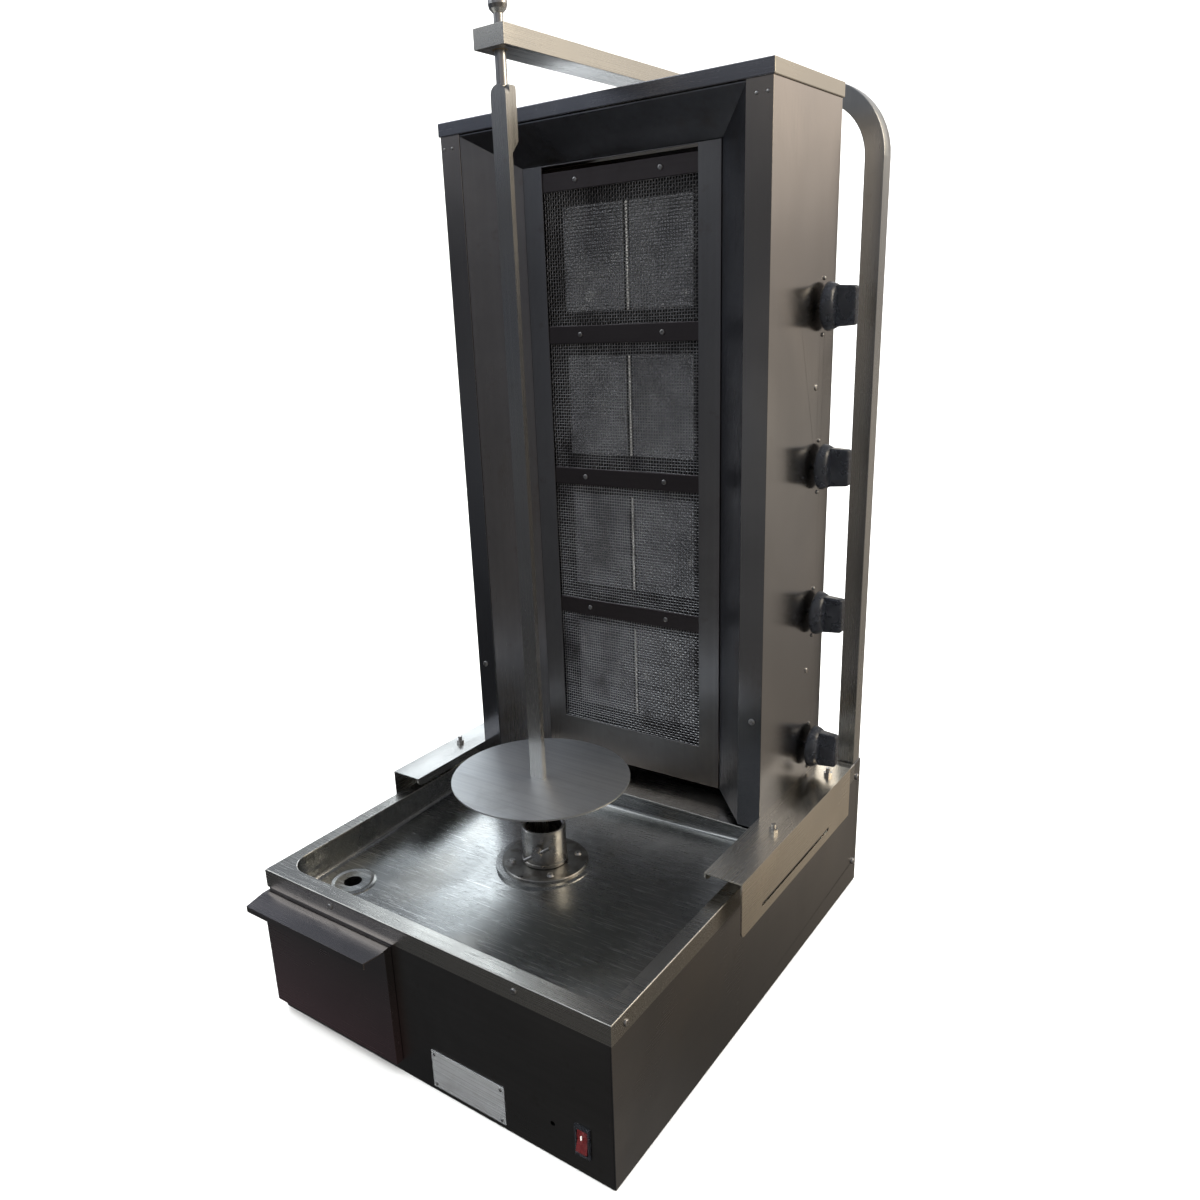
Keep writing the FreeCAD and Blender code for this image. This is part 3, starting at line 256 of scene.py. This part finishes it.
hub_steel = Finish("hub_steel", (0.30, 0.295, 0.28), 0.34, 1.0, Anisotropic=0.3)
hub_steel.mottle(60, (0.48, 0.66), 0.6, (0.12, 0.10, 0.085))
hub_steel.wear(90, 0.24, 0.5, 4.0)
hub_steel.grit(TURNED, 0.00003)

screw_steel = Finish("screw_steel", (0.62, 0.61, 0.59), 0.30, 1.0)
screw_steel.mottle(240, (0.46, 0.62), 0.7, (0.30, 0.28, 0.26), 3.0)
screw_steel.wear(300, 0.24, 0.5)
screw_steel.grit(900, 0.00002)

DISC_BRUSH, DISC_STREAK, DISC_TURN = (6, 1300, 6), (3, 190, 3), (0, 0, 0.2)
disc_metal = Finish("disc_metal", (0.74, 0.75, 0.75), 0.3, 1.0)
disc_metal.mottle(DISC_STREAK, (0.42, 0.66), 0.5, (0.60, 0.61, 0.62), 4.0, 0.6, DISC_TURN)
disc_metal.mottle(14, (0.56, 0.7), 0.35, (0.52, 0.52, 0.51), 5.0, 0.7)
disc_metal.wear(DISC_BRUSH, 0.42, 0.60, 2.0, DISC_TURN)
disc_metal.grit(DISC_BRUSH, 0.00002, 2.0, DISC_TURN)

PLATE_BRUSH = (8, 8, 1400)
plate_metal = Finish("plate_metal", (0.36, 0.37, 0.38), 0.36, 0.6)
plate_metal.mottle(30, (0.5, 0.7), 0.5, (0.26, 0.26, 0.26))
plate_metal.wear(PLATE_BRUSH, 0.22, 0.4, 2.0)
plate_metal.grit(PLATE_BRUSH, 0.00002)

PORE_RATE = 3490  # radians per metre: one small hole every 1.8 mm
# Painted shade: the plaques' dark base colour is painted shade from the dark burner interior, not the
# ceramic's own pale colour.
ceramic = Finish("ceramic", (0.15, 0.155, 0.17), 0.85)
rows = ceramic.maths("SINE", ceramic.maths("MULTIPLY", ceramic.axis("X"), PORE_RATE))
columns = ceramic.maths("SINE", ceramic.maths("MULTIPLY", ceramic.axis("Z"), PORE_RATE))
pores = ceramic.spread(ceramic.maths("MULTIPLY", rows, columns), 0.25, 0.55)
ceramic.mottle((14, 14, 11), (0.42, 0.66), 0.8, (0.07, 0.073, 0.085), 5.0, 0.65)
ceramic.mottle((26, 26, 30), (0.60, 0.70), 0.6, (0.50, 0.50, 0.49), 4.0, 0.7)
# Painted shade: the small holes are painted near black, as painted shade in the hollows.
ceramic.tint(ceramic.maths("MULTIPLY", pores, 0.8), (0.05, 0.045, 0.04))
ceramic.bump(pores, -0.0004)

fibre = Finish("fibre", (0.50, 0.49, 0.47), 0.9)
fibre.mottle((90, 90, 60), (0.45, 0.62), 0.6, (0.24, 0.23, 0.22), 4.0, 0.65)
fibre.grit(900, 0.0002, 3.0)

wire = Finish("wire", (0.50, 0.495, 0.49), 0.34, 1.0)
wire.mottle((16, 16, 12), (0.44, 0.66), 0.85, (0.15, 0.14, 0.14), 5.0, 0.65)
wire.wear(300, 0.3, 0.5, 2.0)
wire.grit(1500, 0.00002)

brass = Finish("brass", (0.62, 0.46, 0.20), 0.32, 1.0)
brass.mottle(50, (0.48, 0.68), 0.6, (0.34, 0.24, 0.11))
brass.wear(120, 0.24, 0.46)
brass.grit((1200, 1200, 40), 0.00002)

black_plastic = Finish("black_plastic", (0.011, 0.012, 0.015), 0.3, 0.0)
black_plastic.mottle(45, (0.5, 0.7), 0.6, (0.026, 0.027, 0.031), 4.0, 0.6)
black_plastic.wear(60, 0.20, 0.40, 4.0, levels=(0.35, 0.65))
black_plastic.grit(1600, 0.00005)

red_plastic = Finish("red_plastic", (0.075, 0.006, 0.007), 0.24, 0.0, Coat_Weight=0.4)
red_plastic.mottle(120, (0.5, 0.7), 0.4, (0.03, 0.004, 0.004), 3.0)
red_plastic.wear(160, 0.16, 0.34)
red_plastic.grit(900, 0.00002)

white_print = Finish("white_print", (0.72, 0.71, 0.68), 0.5)
white_print.mottle(300, (0.5, 0.65), 0.6, (0.42, 0.41, 0.39), 3.0)
white_print.grit(1500, 0.00001)

rubber = Finish("rubber", (0.022, 0.022, 0.022), 0.75)
rubber.mottle(70, (0.5, 0.7), 0.6, (0.07, 0.066, 0.06))
rubber.grit(900, 0.0001, 3.0)

nylon = Finish("nylon", (0.62, 0.60, 0.54), 0.5, Subsurface_Weight=0.05)
nylon.mottle(60, (0.5, 0.7), 0.5, (0.42, 0.39, 0.33))
nylon.grit(700, 0.00005, 3.0)

motor_paint = Finish("motor_paint", (0.055, 0.058, 0.062), 0.45, 0.0, Coat_Weight=0.2)
motor_paint.mottle(40, (0.5, 0.7), 0.6, (0.11, 0.105, 0.10))
motor_paint.grit(500, 0.0001, 3.0)


def dress(finish, *names):
    """Give CAD nodes a finish."""
    for name in names:
        data = nodes[name].data
        if not data.materials:
            data.materials.append(finish.material)
        for index in range(len(data.materials)):
            data.materials[index] = finish.material


dress(casing_front, "front_panel", "bottom_plate")
dress(casing_side, "base_side_right", "base_side_left", "rear_panel")
dress(drawer_painted_reflection_steel, "drawer_front", "drawer_pan", "drawer_runners")
dress(tray_steel, "drip_tray", "drain_outlet")
dress(tower_steel, "tower_side_left", "tower_side_right", "tower_back")
dress(cap_steel, "tower_cap")
dress(rail_painted_light_steel, "rail_left", "rail_right")
dress(shield_steel, "shield_left", "shield_right", "shield_top")
dress(frame_steel, "burner_frame")
dress(bar_steel, "crossbars", "venturi_tubes")
dress(inner_steel, "burner_plenums")
dress(tube_steel, "hoop_tube")
dress(arm_steel, "top_arm")
dress(spit_steel, "skewer_bar", "skewer_boss", "top_pin")
dress(hub_steel, "hub_flange", "drive_shaft")
dress(cup_steel, "drive_cup", "lock_screw")
dress(screw_steel, "hub_screws", "arm_bolts", "rail_bolts", "motor_bracket")
for number in range(1, 5):
    dress(screw_steel, f"knob_stem_{number}")
dress(disc_metal, "skewer_disc")
dress(plate_metal, "nameplate")
dress(brass, "pin_bush", "gas_valves", "gas_manifold")
dress(black_plastic, "switch_housing", "cable_gland")
dress(red_plastic, "switch_rocker")
dress(rubber, "rubber_feet")
dress(nylon, "terminal_block", "runner_blocks")
dress(motor_paint, "gear_motor")


def soften(width, *names):
    """Real sheet and bar edges are slightly rounded."""
    for name in names:
        item = nodes[name]
        weld = item.modifiers.new("weld", "WELD")
        weld.merge_threshold = 0.00001
        bevel = item.modifiers.new("soft_edges", "BEVEL")
        bevel.width = width
        bevel.segments = 2
        bevel.limit_method = "ANGLE"
        bevel.angle_limit = math.radians(50)
        bevel.harden_normals = True


soften(0.0009, "tower_cap", "crossbars")
soften(0.0005, "base_side_right", "base_side_left", "rear_panel", "drawer_front", "tower_side_left",
       "tower_side_right", "rail_left", "rail_right", "top_arm", "burner_frame", "nameplate",
       "shield_left", "shield_right")
soften(0.0012, "hoop_tube", "runner_blocks", "skewer_boss")


# ---------------------------------------------------------------- mesh helpers
def piece(name, mesh, finish, body, slot_name, *replaced, smooth=True):
    """Finish a bmesh as an object that rides on a body."""
    data = bpy.data.meshes.new(name)
    bmesh.ops.recalc_face_normals(mesh, faces=mesh.faces)
    mesh.to_mesh(data)
    mesh.free()
    data.materials.append(finish.material)
    item = bpy.data.objects.new(name, data)
    bpy.context.scene.collection.objects.link(item)
    if smooth:
        data.polygons.foreach_set("use_smooth", [True] * len(data.polygons))
        data.set_sharp_from_angle(angle=math.radians(38))
    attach(item, body)
    if replaced:
        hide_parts(*replaced)
    return item


def facing(axis, centre):
    """A matrix that takes local +Z to an axis, at a centre."""
    turn = Z.rotation_difference(Vector(axis)).to_matrix().to_4x4()
    return Matrix.Translation(centre) @ turn


def lathe(mesh, profile, matrix, steps=48):
    """Turn a profile of (radius, height) pairs about local Z and close it."""
    rings = []
    for radius, height in profile:
        if radius < 1e-7:
            rings.append([mesh.verts.new(matrix @ Vector((0, 0, height)))])
            continue
        ring = []
        for step in range(steps):
            angle = 2 * math.pi * step / steps
            place = Vector((radius * math.cos(angle), radius * math.sin(angle), height))
            ring.append(mesh.verts.new(matrix @ place))
        rings.append(ring)
    for first, second in zip(rings, rings[1:]):
        for step in range(steps):
            after = (step + 1) % steps
            if len(first) == 1 and len(second) == 1:
                continue
            if len(first) == 1:
                mesh.faces.new((first[0], second[step], second[after]))
            elif len(second) == 1:
                mesh.faces.new((first[step], second[0], first[after]))
            else:
                mesh.faces.new((first[step], second[step], second[after], first[after]))
    return rings


def slab(mesh, low, high, matrix=Matrix.Identity(4), bevel=0.0):
    """A block between two corners, with rounded edges where a bevel is given."""
    middle = (Vector(low) + Vector(high)) / 2
    size = Vector(high) - Vector(low)
    made = bmesh.ops.create_cube(mesh, size=1.0)["verts"]
    bmesh.ops.scale(mesh, vec=size, verts=made)
    bmesh.ops.translate(mesh, vec=middle, verts=made)
    if bevel:
        edges = list({edge for vert in made for edge in vert.link_edges})
        result = bmesh.ops.bevel(mesh, geom=edges, offset=bevel, segments=3, profile=0.7, affect="EDGES")
        rounded = {vert for face in result["faces"] for vert in face.verts}
        made = list(rounded | {vert for vert in made if vert.is_valid})
    bmesh.ops.transform(mesh, matrix=matrix, verts=made)


def solids(node):
    """The separate solids of a CAD node, each as (lowest corner, highest corner, list of faces)."""
    mesh = bmesh.new()
    mesh.from_mesh(nodes[node].data)
    bmesh.ops.remove_doubles(mesh, verts=mesh.verts, dist=0.00001)
    waiting = set(mesh.verts)
    found = []
    while waiting:
        stack = [next(iter(waiting))]
        waiting.discard(stack[0])
        group = []
        while stack:
            vert = stack.pop()
            group.append(vert)
            for edge in vert.link_edges:
                other = edge.other_vert(vert)
                if other in waiting:
                    waiting.discard(other)
                    stack.append(other)
        low = Vector([min(v.co[i] for v in group) for i in range(3)])
        high = Vector([max(v.co[i] for v in group) for i in range(3)])
        faces = {face for vert in group for face in vert.link_faces}
        found.append((low, high, [[v.co.copy() for v in face.verts] for face in faces]))
    mesh.free()
    found.sort(key=lambda item: tuple(round(value, 5) for value in item[0]))
    return found


def copy_faces(mesh, faces):
    """Add faces, given as lists of corner places, and join them at shared corners."""
    table = {}
    for face in faces:
        corner = []
        for place in face:
            key = tuple(round(value, 6) for value in place)
            if key not in table:
                table[key] = mesh.verts.new(place)
            corner.append(table[key])
        if len(set(corner)) == len(corner):
            mesh.faces.new(corner)


# ---------------------------------------------------------------- fasteners
SMALLEST_SCREW = 0.0032  # a smaller head is a rivet
SQUAT = 0.55  # a shape whose thinnest side is above this part of its longest is a hexagon
HEAD_STEPS = 28
QUARTER_TURNS = ((1, 0), (0, 1), (-1, 0), (0, -1))


def head_axis(low, high):
    """The way that a screw head faces: its thinnest side, outwards from the machine."""
    size = high - low
    across = min(range(3), key=lambda i: size[i])
    centre = (low + high) / 2
    axis = Vector((0, 0, 0))
    if across == 0:
        axis.x = 1 if centre.x > 0 else -1
    elif across == 1:
        axis.y = -1
    else:
        axis.z = 1
    return axis, size[across], max(size) / 2


def cross_head(mesh, place, radius, height):
    """A pan head whose flat top is cut by a cross recess."""
    profile = [(0, 0), (radius, 0), (radius, height * 0.35), (radius * 0.95, height * 0.66),
               (radius * 0.84, height * 0.90), (radius * 0.68, height)]
    rim = lathe(mesh, profile, place, HEAD_STEPS)[-1]
    long, short = radius * 0.50, radius * 0.12
    quarter = [(long, -short), (long, short), (short, short)]
    outline = []
    for turn in range(4):
        cos, sin = QUARTER_TURNS[turn]
        outline += [(x * cos - y * sin, x * sin + y * cos) for x, y in quarter]
    top = [mesh.verts.new(place @ Vector((x, y, height))) for x, y in outline]
    floor = [mesh.verts.new(place @ Vector((x * 0.8, y * 0.8, height * 0.35))) for x, y in outline]
    count = len(outline)
    for i in range(count):
        mesh.faces.new((top[i], floor[i], floor[(i + 1) % count], top[(i + 1) % count]))
    mesh.faces.new(floor)
    pairs = [(loop[i], loop[(i + 1) % len(loop)]) for loop in (rim, top) for i in range(len(loop))]
    edges = [mesh.edges.get(pair) for pair in pairs]
    bmesh.ops.triangle_fill(mesh, edges=edges, use_beauty=True, normal=place.to_3x3() @ Z)


def dome_head(mesh, place, radius, height):
    """A domed rivet or a small round screw."""
    profile = [(0, 0), (radius, 0), (radius, height * 0.25), (radius * 0.90, height * 0.62),
               (radius * 0.68, height * 0.86), (radius * 0.36, height * 0.97), (0, height)]
    lathe(mesh, profile, place, HEAD_STEPS)


def fasteners(name, source, body, slot_name, riveted_sides):
    """Cross-recessed pan heads, domed rivets and hexagons, where the CAD has plain shapes."""
    mesh = bmesh.new()
    random.seed(7)
    for low, high, faces in solids(source):
        axis, height, radius = head_axis(low, high)
        flat = sorted(high - low)
        if flat[0] > flat[2] * SQUAT:
            copy_faces(mesh, faces)
            continue
        centre = (low + high) / 2 - axis * height / 2
        place = facing(axis, centre) @ Matrix.Rotation(random.uniform(0, 1.5), 4, "Z")
        if radius < SMALLEST_SCREW or (riveted_sides and axis.x):
            dome_head(mesh, place, radius, height)
        else:
            cross_head(mesh, place, radius, height)
    return piece(name, mesh, screw_steel, body, slot_name, source)


fasteners("casing_screw_heads", "casing_fasteners", "base", "screws", False)
fasteners("tower_screw_heads", "tower_fasteners", "tower", "screws", True)


# ---------------------------------------------------------------- burners
PITCH, WIRE = 0.00395, 0.00062  # spacing and radius of the guard's wires
GUARD_EDGE = 0.002


def woven_guard(mesh, low, high, depth):
    """Plain woven wire: each wire passes over and under the wires that cross it."""
    across = int(round((high[0] - low[0]) / PITCH))
    up = int(round((high[1] - low[1]) / PITCH))
    xs = [low[0] + (high[0] - low[0]) * (i + 0.5) / across for i in range(across)]
    zs = [low[1] + (high[1] - low[1]) * (i + 0.5) / up for i in range(up)]
    ring = [(WIRE, 0), (0, WIRE), (-WIRE, 0), (0, -WIRE)]

    def thread(places, lengthwise):
        before = None
        for place in places:
            sides = []
            for sideways, outward in ring:
                offset = (sideways, outward, 0) if lengthwise == "z" else (0, outward, sideways)
                sides.append(mesh.verts.new(place + Vector(offset)))
            if before:
                for i in range(4):
                    mesh.faces.new((before[i], sides[i], sides[(i + 1) % 4], before[(i + 1) % 4]))
            before = sides

    for i, x in enumerate(xs):
        wave = [(z, WIRE * 0.8 * (-1) ** (i + k)) for k, z in enumerate(zs)]
        wave = [(low[1], 0.0)] + wave + [(high[1], 0.0)]
        bend = 0.0006 * math.sin(i * 0.9)
        thread([Vector((x + bend * math.sin(z * 40), depth + y, z)) for z, y in wave], "z")
    for k, z in enumerate(zs):
        wave = [(x, WIRE * 0.8 * (-1) ** (i + k + 1)) for i, x in enumerate(xs)]
        wave = [(low[0], 0.0)] + wave + [(high[0], 0.0)]
        bend = 0.0006 * math.sin(k * 1.3)
        thread([Vector((x, depth + y, z + bend * math.sin(x * 40))) for x, y in wave], "x")


def guards():
    mesh = bmesh.new()
    for low, high, _ in solids("mesh_guards"):
        lower = (low.x + GUARD_EDGE, low.z + GUARD_EDGE)
        upper = (high.x - GUARD_EDGE, high.z - GUARD_EDGE)
        woven_guard(mesh, lower, upper, (low.y + high.y) / 2)
    piece("woven_guards", mesh, wire, "tower", "mesh", "mesh_guards", smooth=False)


def plaque(mesh, low, high):
    """A ceramic plaque: the front is a field of small hollows inside a plain border."""
    border, cell, depth, chamfer = 0.004, 0.0042, 0.0011, 0.0006
    slab(mesh, (low.x, low.y + depth, low.z), (high.x, high.y, high.z), bevel=chamfer)
    columns_count = int((high.x - low.x - 2 * border) / cell)
    rows_count = int((high.z - low.z - 2 * border) / cell)
    step_x = (high.x - low.x - 2 * border) / columns_count
    step_z = (high.z - low.z - 2 * border) / rows_count
    grid = [[mesh.verts.new((low.x + border + i * step_x, low.y, low.z + border + j * step_z))
             for j in range(rows_count + 1)] for i in range(columns_count + 1)]
    for i in range(columns_count):
        for j in range(rows_count):
            corners = (grid[i][j], grid[i + 1][j], grid[i + 1][j + 1], grid[i][j + 1])
            centre = sum((corner.co for corner in corners), Vector()) / 4 + Y * depth * 0.9
            tip = mesh.verts.new(centre)
            for n in range(4):
                mesh.faces.new((corners[n], corners[(n + 1) % 4], tip))
    rim = [(low.x + chamfer, low.z + chamfer), (high.x - chamfer, low.z + chamfer),
           (high.x - chamfer, high.z - chamfer), (low.x + chamfer, high.z - chamfer)]
    edge = [[grid[i][0] for i in range(columns_count + 1)], grid[-1],
            [grid[i][-1] for i in range(columns_count, -1, -1)], grid[0][::-1]]
    outer = [mesh.verts.new((x, low.y, z)) for x, z in rim]
    for n in range(4):
        mesh.faces.new([outer[n], outer[(n + 1) % 4]] + list(reversed(edge[n])))
    skirt = [mesh.verts.new((x, low.y + depth * 1.2, z)) for x, z in rim]
    for n in range(4):
        mesh.faces.new((outer[n], skirt[n], skirt[(n + 1) % 4], outer[(n + 1) % 4]))


def plaques():
    mesh = bmesh.new()
    for low, high, _ in solids("burner_tiles"):
        plaque(mesh, low, high)
    piece("ceramic_plaques", mesh, ceramic, "tower", "ceramic", "burner_tiles", smooth=False)


def gaskets():
    """A pale fibre strip in the joint between the two plaques of each burner."""
    mesh = bmesh.new()
    half, sunk, deep = 0.0017, 0.0002, 0.007
    tiles = [(low, high) for low, high, _ in solids("burner_tiles") if low.x > 0]
    for low, high in tiles:
        slab(mesh, (-half, low.y + sunk, low.z), (half, low.y + deep, high.z), bevel=0.0004)
    piece("plaque_gaskets", mesh, fibre, "tower", "ceramic", smooth=False)


guards()
plaques()
gaskets()


# ---------------------------------------------------------------- controls
def knob(number):
    """A skirted bar knob with a rounded grip."""
    low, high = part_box(f"knob_{number}")
    low, high = Vector(low), Vector(high)
    centre = Vector((low.x, (low.y + high.y) / 2, (low.z + high.z) / 2))
    place = facing(X, centre)
    radius = (high.z - low.z) / 2
    deep = high.x - low.x
    hole, half_grip = 0.0042, 0.0086
    mesh = bmesh.new()
    profile = [(hole, 0.0), (radius - 0.0015, 0.0), (radius - 0.0004, 0.0005), (radius, 0.0018),
               (radius - 0.0004, 0.0040), (radius - 0.0028, 0.0098), (radius - 0.0048, 0.0122),
               (radius - 0.0080, 0.0136), (0.014, 0.0146), (0.0, 0.0146)]
    lathe(mesh, profile, place, 72)
    inner = [(hole, 0.0), (hole, 0.009), (0.0, 0.009)]
    lathe(mesh, inner, place, 24)
    bar = bmesh.new()
    slab(bar, (-half_grip, -radius + 0.0045, 0.0100), (half_grip, radius - 0.0045, deep))
    for vert in bar.verts:
        if vert.co.z > deep - 0.001:
            vert.co.x *= 0.80
            vert.co.y *= 0.93
    bmesh.ops.bevel(bar, geom=list(bar.edges), offset=0.0040, segments=5, profile=0.6, affect="EDGES")
    bmesh.ops.transform(bar, matrix=place @ Matrix.Rotation(math.pi / 2, 4, "Z"), verts=bar.verts)
    data = bpy.data.meshes.new("bar")
    bar.to_mesh(data)
    bar.free()
    mesh.from_mesh(data)
    bpy.data.meshes.remove(data)
    piece(f"knob_body_{number}", mesh, black_plastic, f"knob_{number}", "black_plastic", f"knob_{number}")


for number in range(1, 5):
    knob(number)


def marks():
    """Small screws that hold each gas valve to the panel, and the raised bar on the rocker switch."""
    mesh = bmesh.new()
    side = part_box("tower_side_right")[1][0]
    for number in range(1, 5):
        low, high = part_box(f"knob_{number}")
        middle = (low[2] + high[2]) / 2
        reach = (high[2] - low[2]) / 2 + 0.004
        for height in (middle - reach, middle + reach):
            dome_head(mesh, facing(X, Vector((side, (low[1] + high[1]) / 2, height))), 0.0026, 0.0022)
    piece("valve_screw_heads", mesh, screw_steel, "tower", "screws")
    low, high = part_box("switch_rocker")
    centre = (Vector(low) + Vector(high)) / 2
    mesh = bmesh.new()
    place = Matrix.Translation(Vector((centre.x, low[1] + 0.0018, high[2] - 0.0075)))
    slab(mesh, (-0.0006, -0.0009, -0.0026), (0.0006, 0.0006, 0.0026), place, 0.0002)
    piece("rocker_mark", mesh, white_print, "rocker", "red_plastic")


marks()


# ---------------------------------------------------------------- studio
FLOOR_RADIUS, COVE, WALL_TOP, COVE_STEPS = 4.6, 1.6, 7.0, 12


def paper_floor():
    """A round paper floor that curves up into a wall, as the stage."""
    floor = bmesh.new()
    section = [(0.0, 0.0), (1.5, 0.0), (3.0, 0.0), (FLOOR_RADIUS, 0.0)]
    for step in range(1, COVE_STEPS + 1):
        angle = math.pi / 2 * step / COVE_STEPS
        section.append((FLOOR_RADIUS + COVE * math.sin(angle), COVE - COVE * math.cos(angle)))
    section.append((FLOOR_RADIUS + COVE, WALL_TOP))
    lathe(floor, section, Matrix.Identity(4), 96)
    bmesh.ops.recalc_face_normals(floor, faces=floor.faces)
    data = bpy.data.meshes.new("studio_floor")
    floor.to_mesh(data)
    floor.free()
    data.polygons.foreach_set("use_smooth", [True] * len(data.polygons))
    item = bpy.data.objects.new("studio_floor", data)
    bpy.context.scene.collection.objects.link(item)
    paper = Finish("studio_paper", (0.86, 0.86, 0.85), 0.9)
    paper.tint(paper.spread(paper.noise((2, 2, 2), 3), 0.3, 0.7, 0, 0.3), (0.83, 0.83, 0.825))
    data.materials.append(paper.material)
    item.visible_glossy = False


def sky():
    """A room in soft patches: dark low down, warm to the right and bright behind the machine."""
    world = bpy.data.worlds.new("studio_world")
    bpy.context.scene.world = world
    world.use_nodes = True
    tree = world.node_tree
    light = tree.nodes["Background"]
    direction = tree.nodes.new("ShaderNodeTexCoord").outputs["Generated"]
    split = tree.nodes.new("ShaderNodeSeparateXYZ")
    tree.links.new(direction, split.inputs[0])

    def ramp(axis, stops):
        node = tree.nodes.new("ShaderNodeValToRGB")
        spread = tree.nodes.new("ShaderNodeMapRange")
        spread.inputs["From Min"].default_value = -1.0
        tree.links.new(split.outputs[axis], spread.inputs["Value"])
        tree.links.new(spread.outputs["Result"], node.inputs["Fac"])
        elements = node.color_ramp.elements
        elements[0].position, elements[0].color = stops[0][0], (*stops[0][1], 1)
        elements[1].position, elements[1].color = stops[-1][0], (*stops[-1][1], 1)
        for position, colour in stops[1:-1]:
            elements.new(position).color = (*colour, 1)
        return node.outputs["Color"]

    def product(first, second):
        node = tree.nodes.new("ShaderNodeMix")
        node.data_type, node.blend_type = "RGBA", "MULTIPLY"
        node.inputs["Factor"].default_value = 1.0
        tree.links.new(first, node.inputs[6])
        tree.links.new(second, node.inputs[7])
        return node.outputs[2]

    height = ramp("Z", [(0.0, (0.05, 0.05, 0.05)), (0.16, (0.075, 0.073, 0.07)), (0.24, (0.20, 0.185, 0.165)),
                        (0.34, (0.12, 0.115, 0.11)), (0.44, (0.15, 0.145, 0.14)),
                        (0.52, (0.14, 0.14, 0.145)), (0.66, (0.42, 0.425, 0.44)), (0.84, (0.27, 0.29, 0.32)),
                        (1.0, (0.30, 0.33, 0.38))])
    sides = ramp("X", [(0.10, (0.60, 0.64, 0.72)), (0.24, (0.72, 0.76, 0.80)), (0.34, (1.10, 1.04, 0.94)),
                       (0.45, (0.80, 0.80, 0.84)), (0.90, (1.25, 1.15, 1.02))])
    depth = ramp("Y", [(0.10, (0.66, 0.69, 0.76)), (0.45, (0.60, 0.61, 0.65)), (0.88, (2.2, 2.15, 2.05))])
    colour = product(product(height, sides), depth)
    cloud = tree.nodes.new("ShaderNodeTexNoise")
    cloud.inputs["Scale"].default_value = 2.6
    cloud.inputs["Detail"].default_value = 1.5
    tree.links.new(direction, cloud.inputs["Vector"])
    patches = tree.nodes.new("ShaderNodeMapRange")
    for key, number in (("From Min", 0.36), ("From Max", 0.66), ("To Min", 0.45), ("To Max", 1.75)):
        patches.inputs[key].default_value = number
    tree.links.new(cloud.outputs["Fac"], patches.inputs["Value"])
    tree.links.new(colour, light.inputs["Color"])
    tree.links.new(patches.outputs["Result"], light.inputs["Strength"])


def lamp(name, place, target, size, power, colour, seen=True):
    """An area lamp that faces a target, seen in reflections or not."""
    data = bpy.data.lights.new(name, "AREA")
    data.shape = "RECTANGLE"
    data.size, data.size_y = size
    data.energy = power
    data.color = colour
    item = bpy.data.objects.new(name, data)
    item.location = place
    item.visible_glossy = seen
    item.rotation_euler = (Vector(target) - Vector(place)).to_track_quat("-Z", "Y").to_euler()
    bpy.context.scene.collection.objects.link(item)


def camera():
    """A three-quarter view from the front right that looks a little down."""
    yaw, pitch, roll = (math.radians(angle) for angle in (37.70, -17.77, -3.07))
    forward = Vector((-math.sin(yaw) * math.cos(pitch), math.cos(yaw) * math.cos(pitch), math.sin(pitch)))
    across = Vector((math.cos(yaw), math.sin(yaw), 0))
    up = across.cross(forward)
    right = math.cos(roll) * across + math.sin(roll) * up
    top = math.cos(roll) * up - math.sin(roll) * across
    data = bpy.data.cameras.new("camera")
    data.lens, data.sensor_width = 29.50, 36.0
    data.shift_x, data.shift_y = 0.051, 0.0184
    item = bpy.data.objects.new("camera", data)
    place = Matrix.Translation((0.7070, TRAY_FRONT - 0.6538, 0.8797))
    item.matrix_world = place @ Matrix((right, top, -forward)).transposed().to_4x4()
    bpy.context.scene.collection.objects.link(item)
    bpy.context.scene.camera = item


paper_floor()
sky()
lamp("key_left", (-2.6, -1.6, 3.2), (0, 0, 0.5), (2.8, 2.4), 38, (0.92, 0.96, 1.0))
lamp("warm_right", (3.0, 1.4, 2.6), (0.2, 0.1, 0.8), (1.4, 2.4), 60, (1.0, 0.88, 0.70))
lamp("cool_back", (-2.4, 3.4, 3.0), (0, -0.1, 0.2), (2.2, 1.6), 36, (0.86, 0.94, 1.0))
lamp("room_top", (0.0, 0.0, 6.2), (0, 0, 0), (9.0, 9.0), 900, (1.0, 1.0, 1.0), seen=False)
camera()
bpy.context.scene.view_settings.view_transform = "Standard"
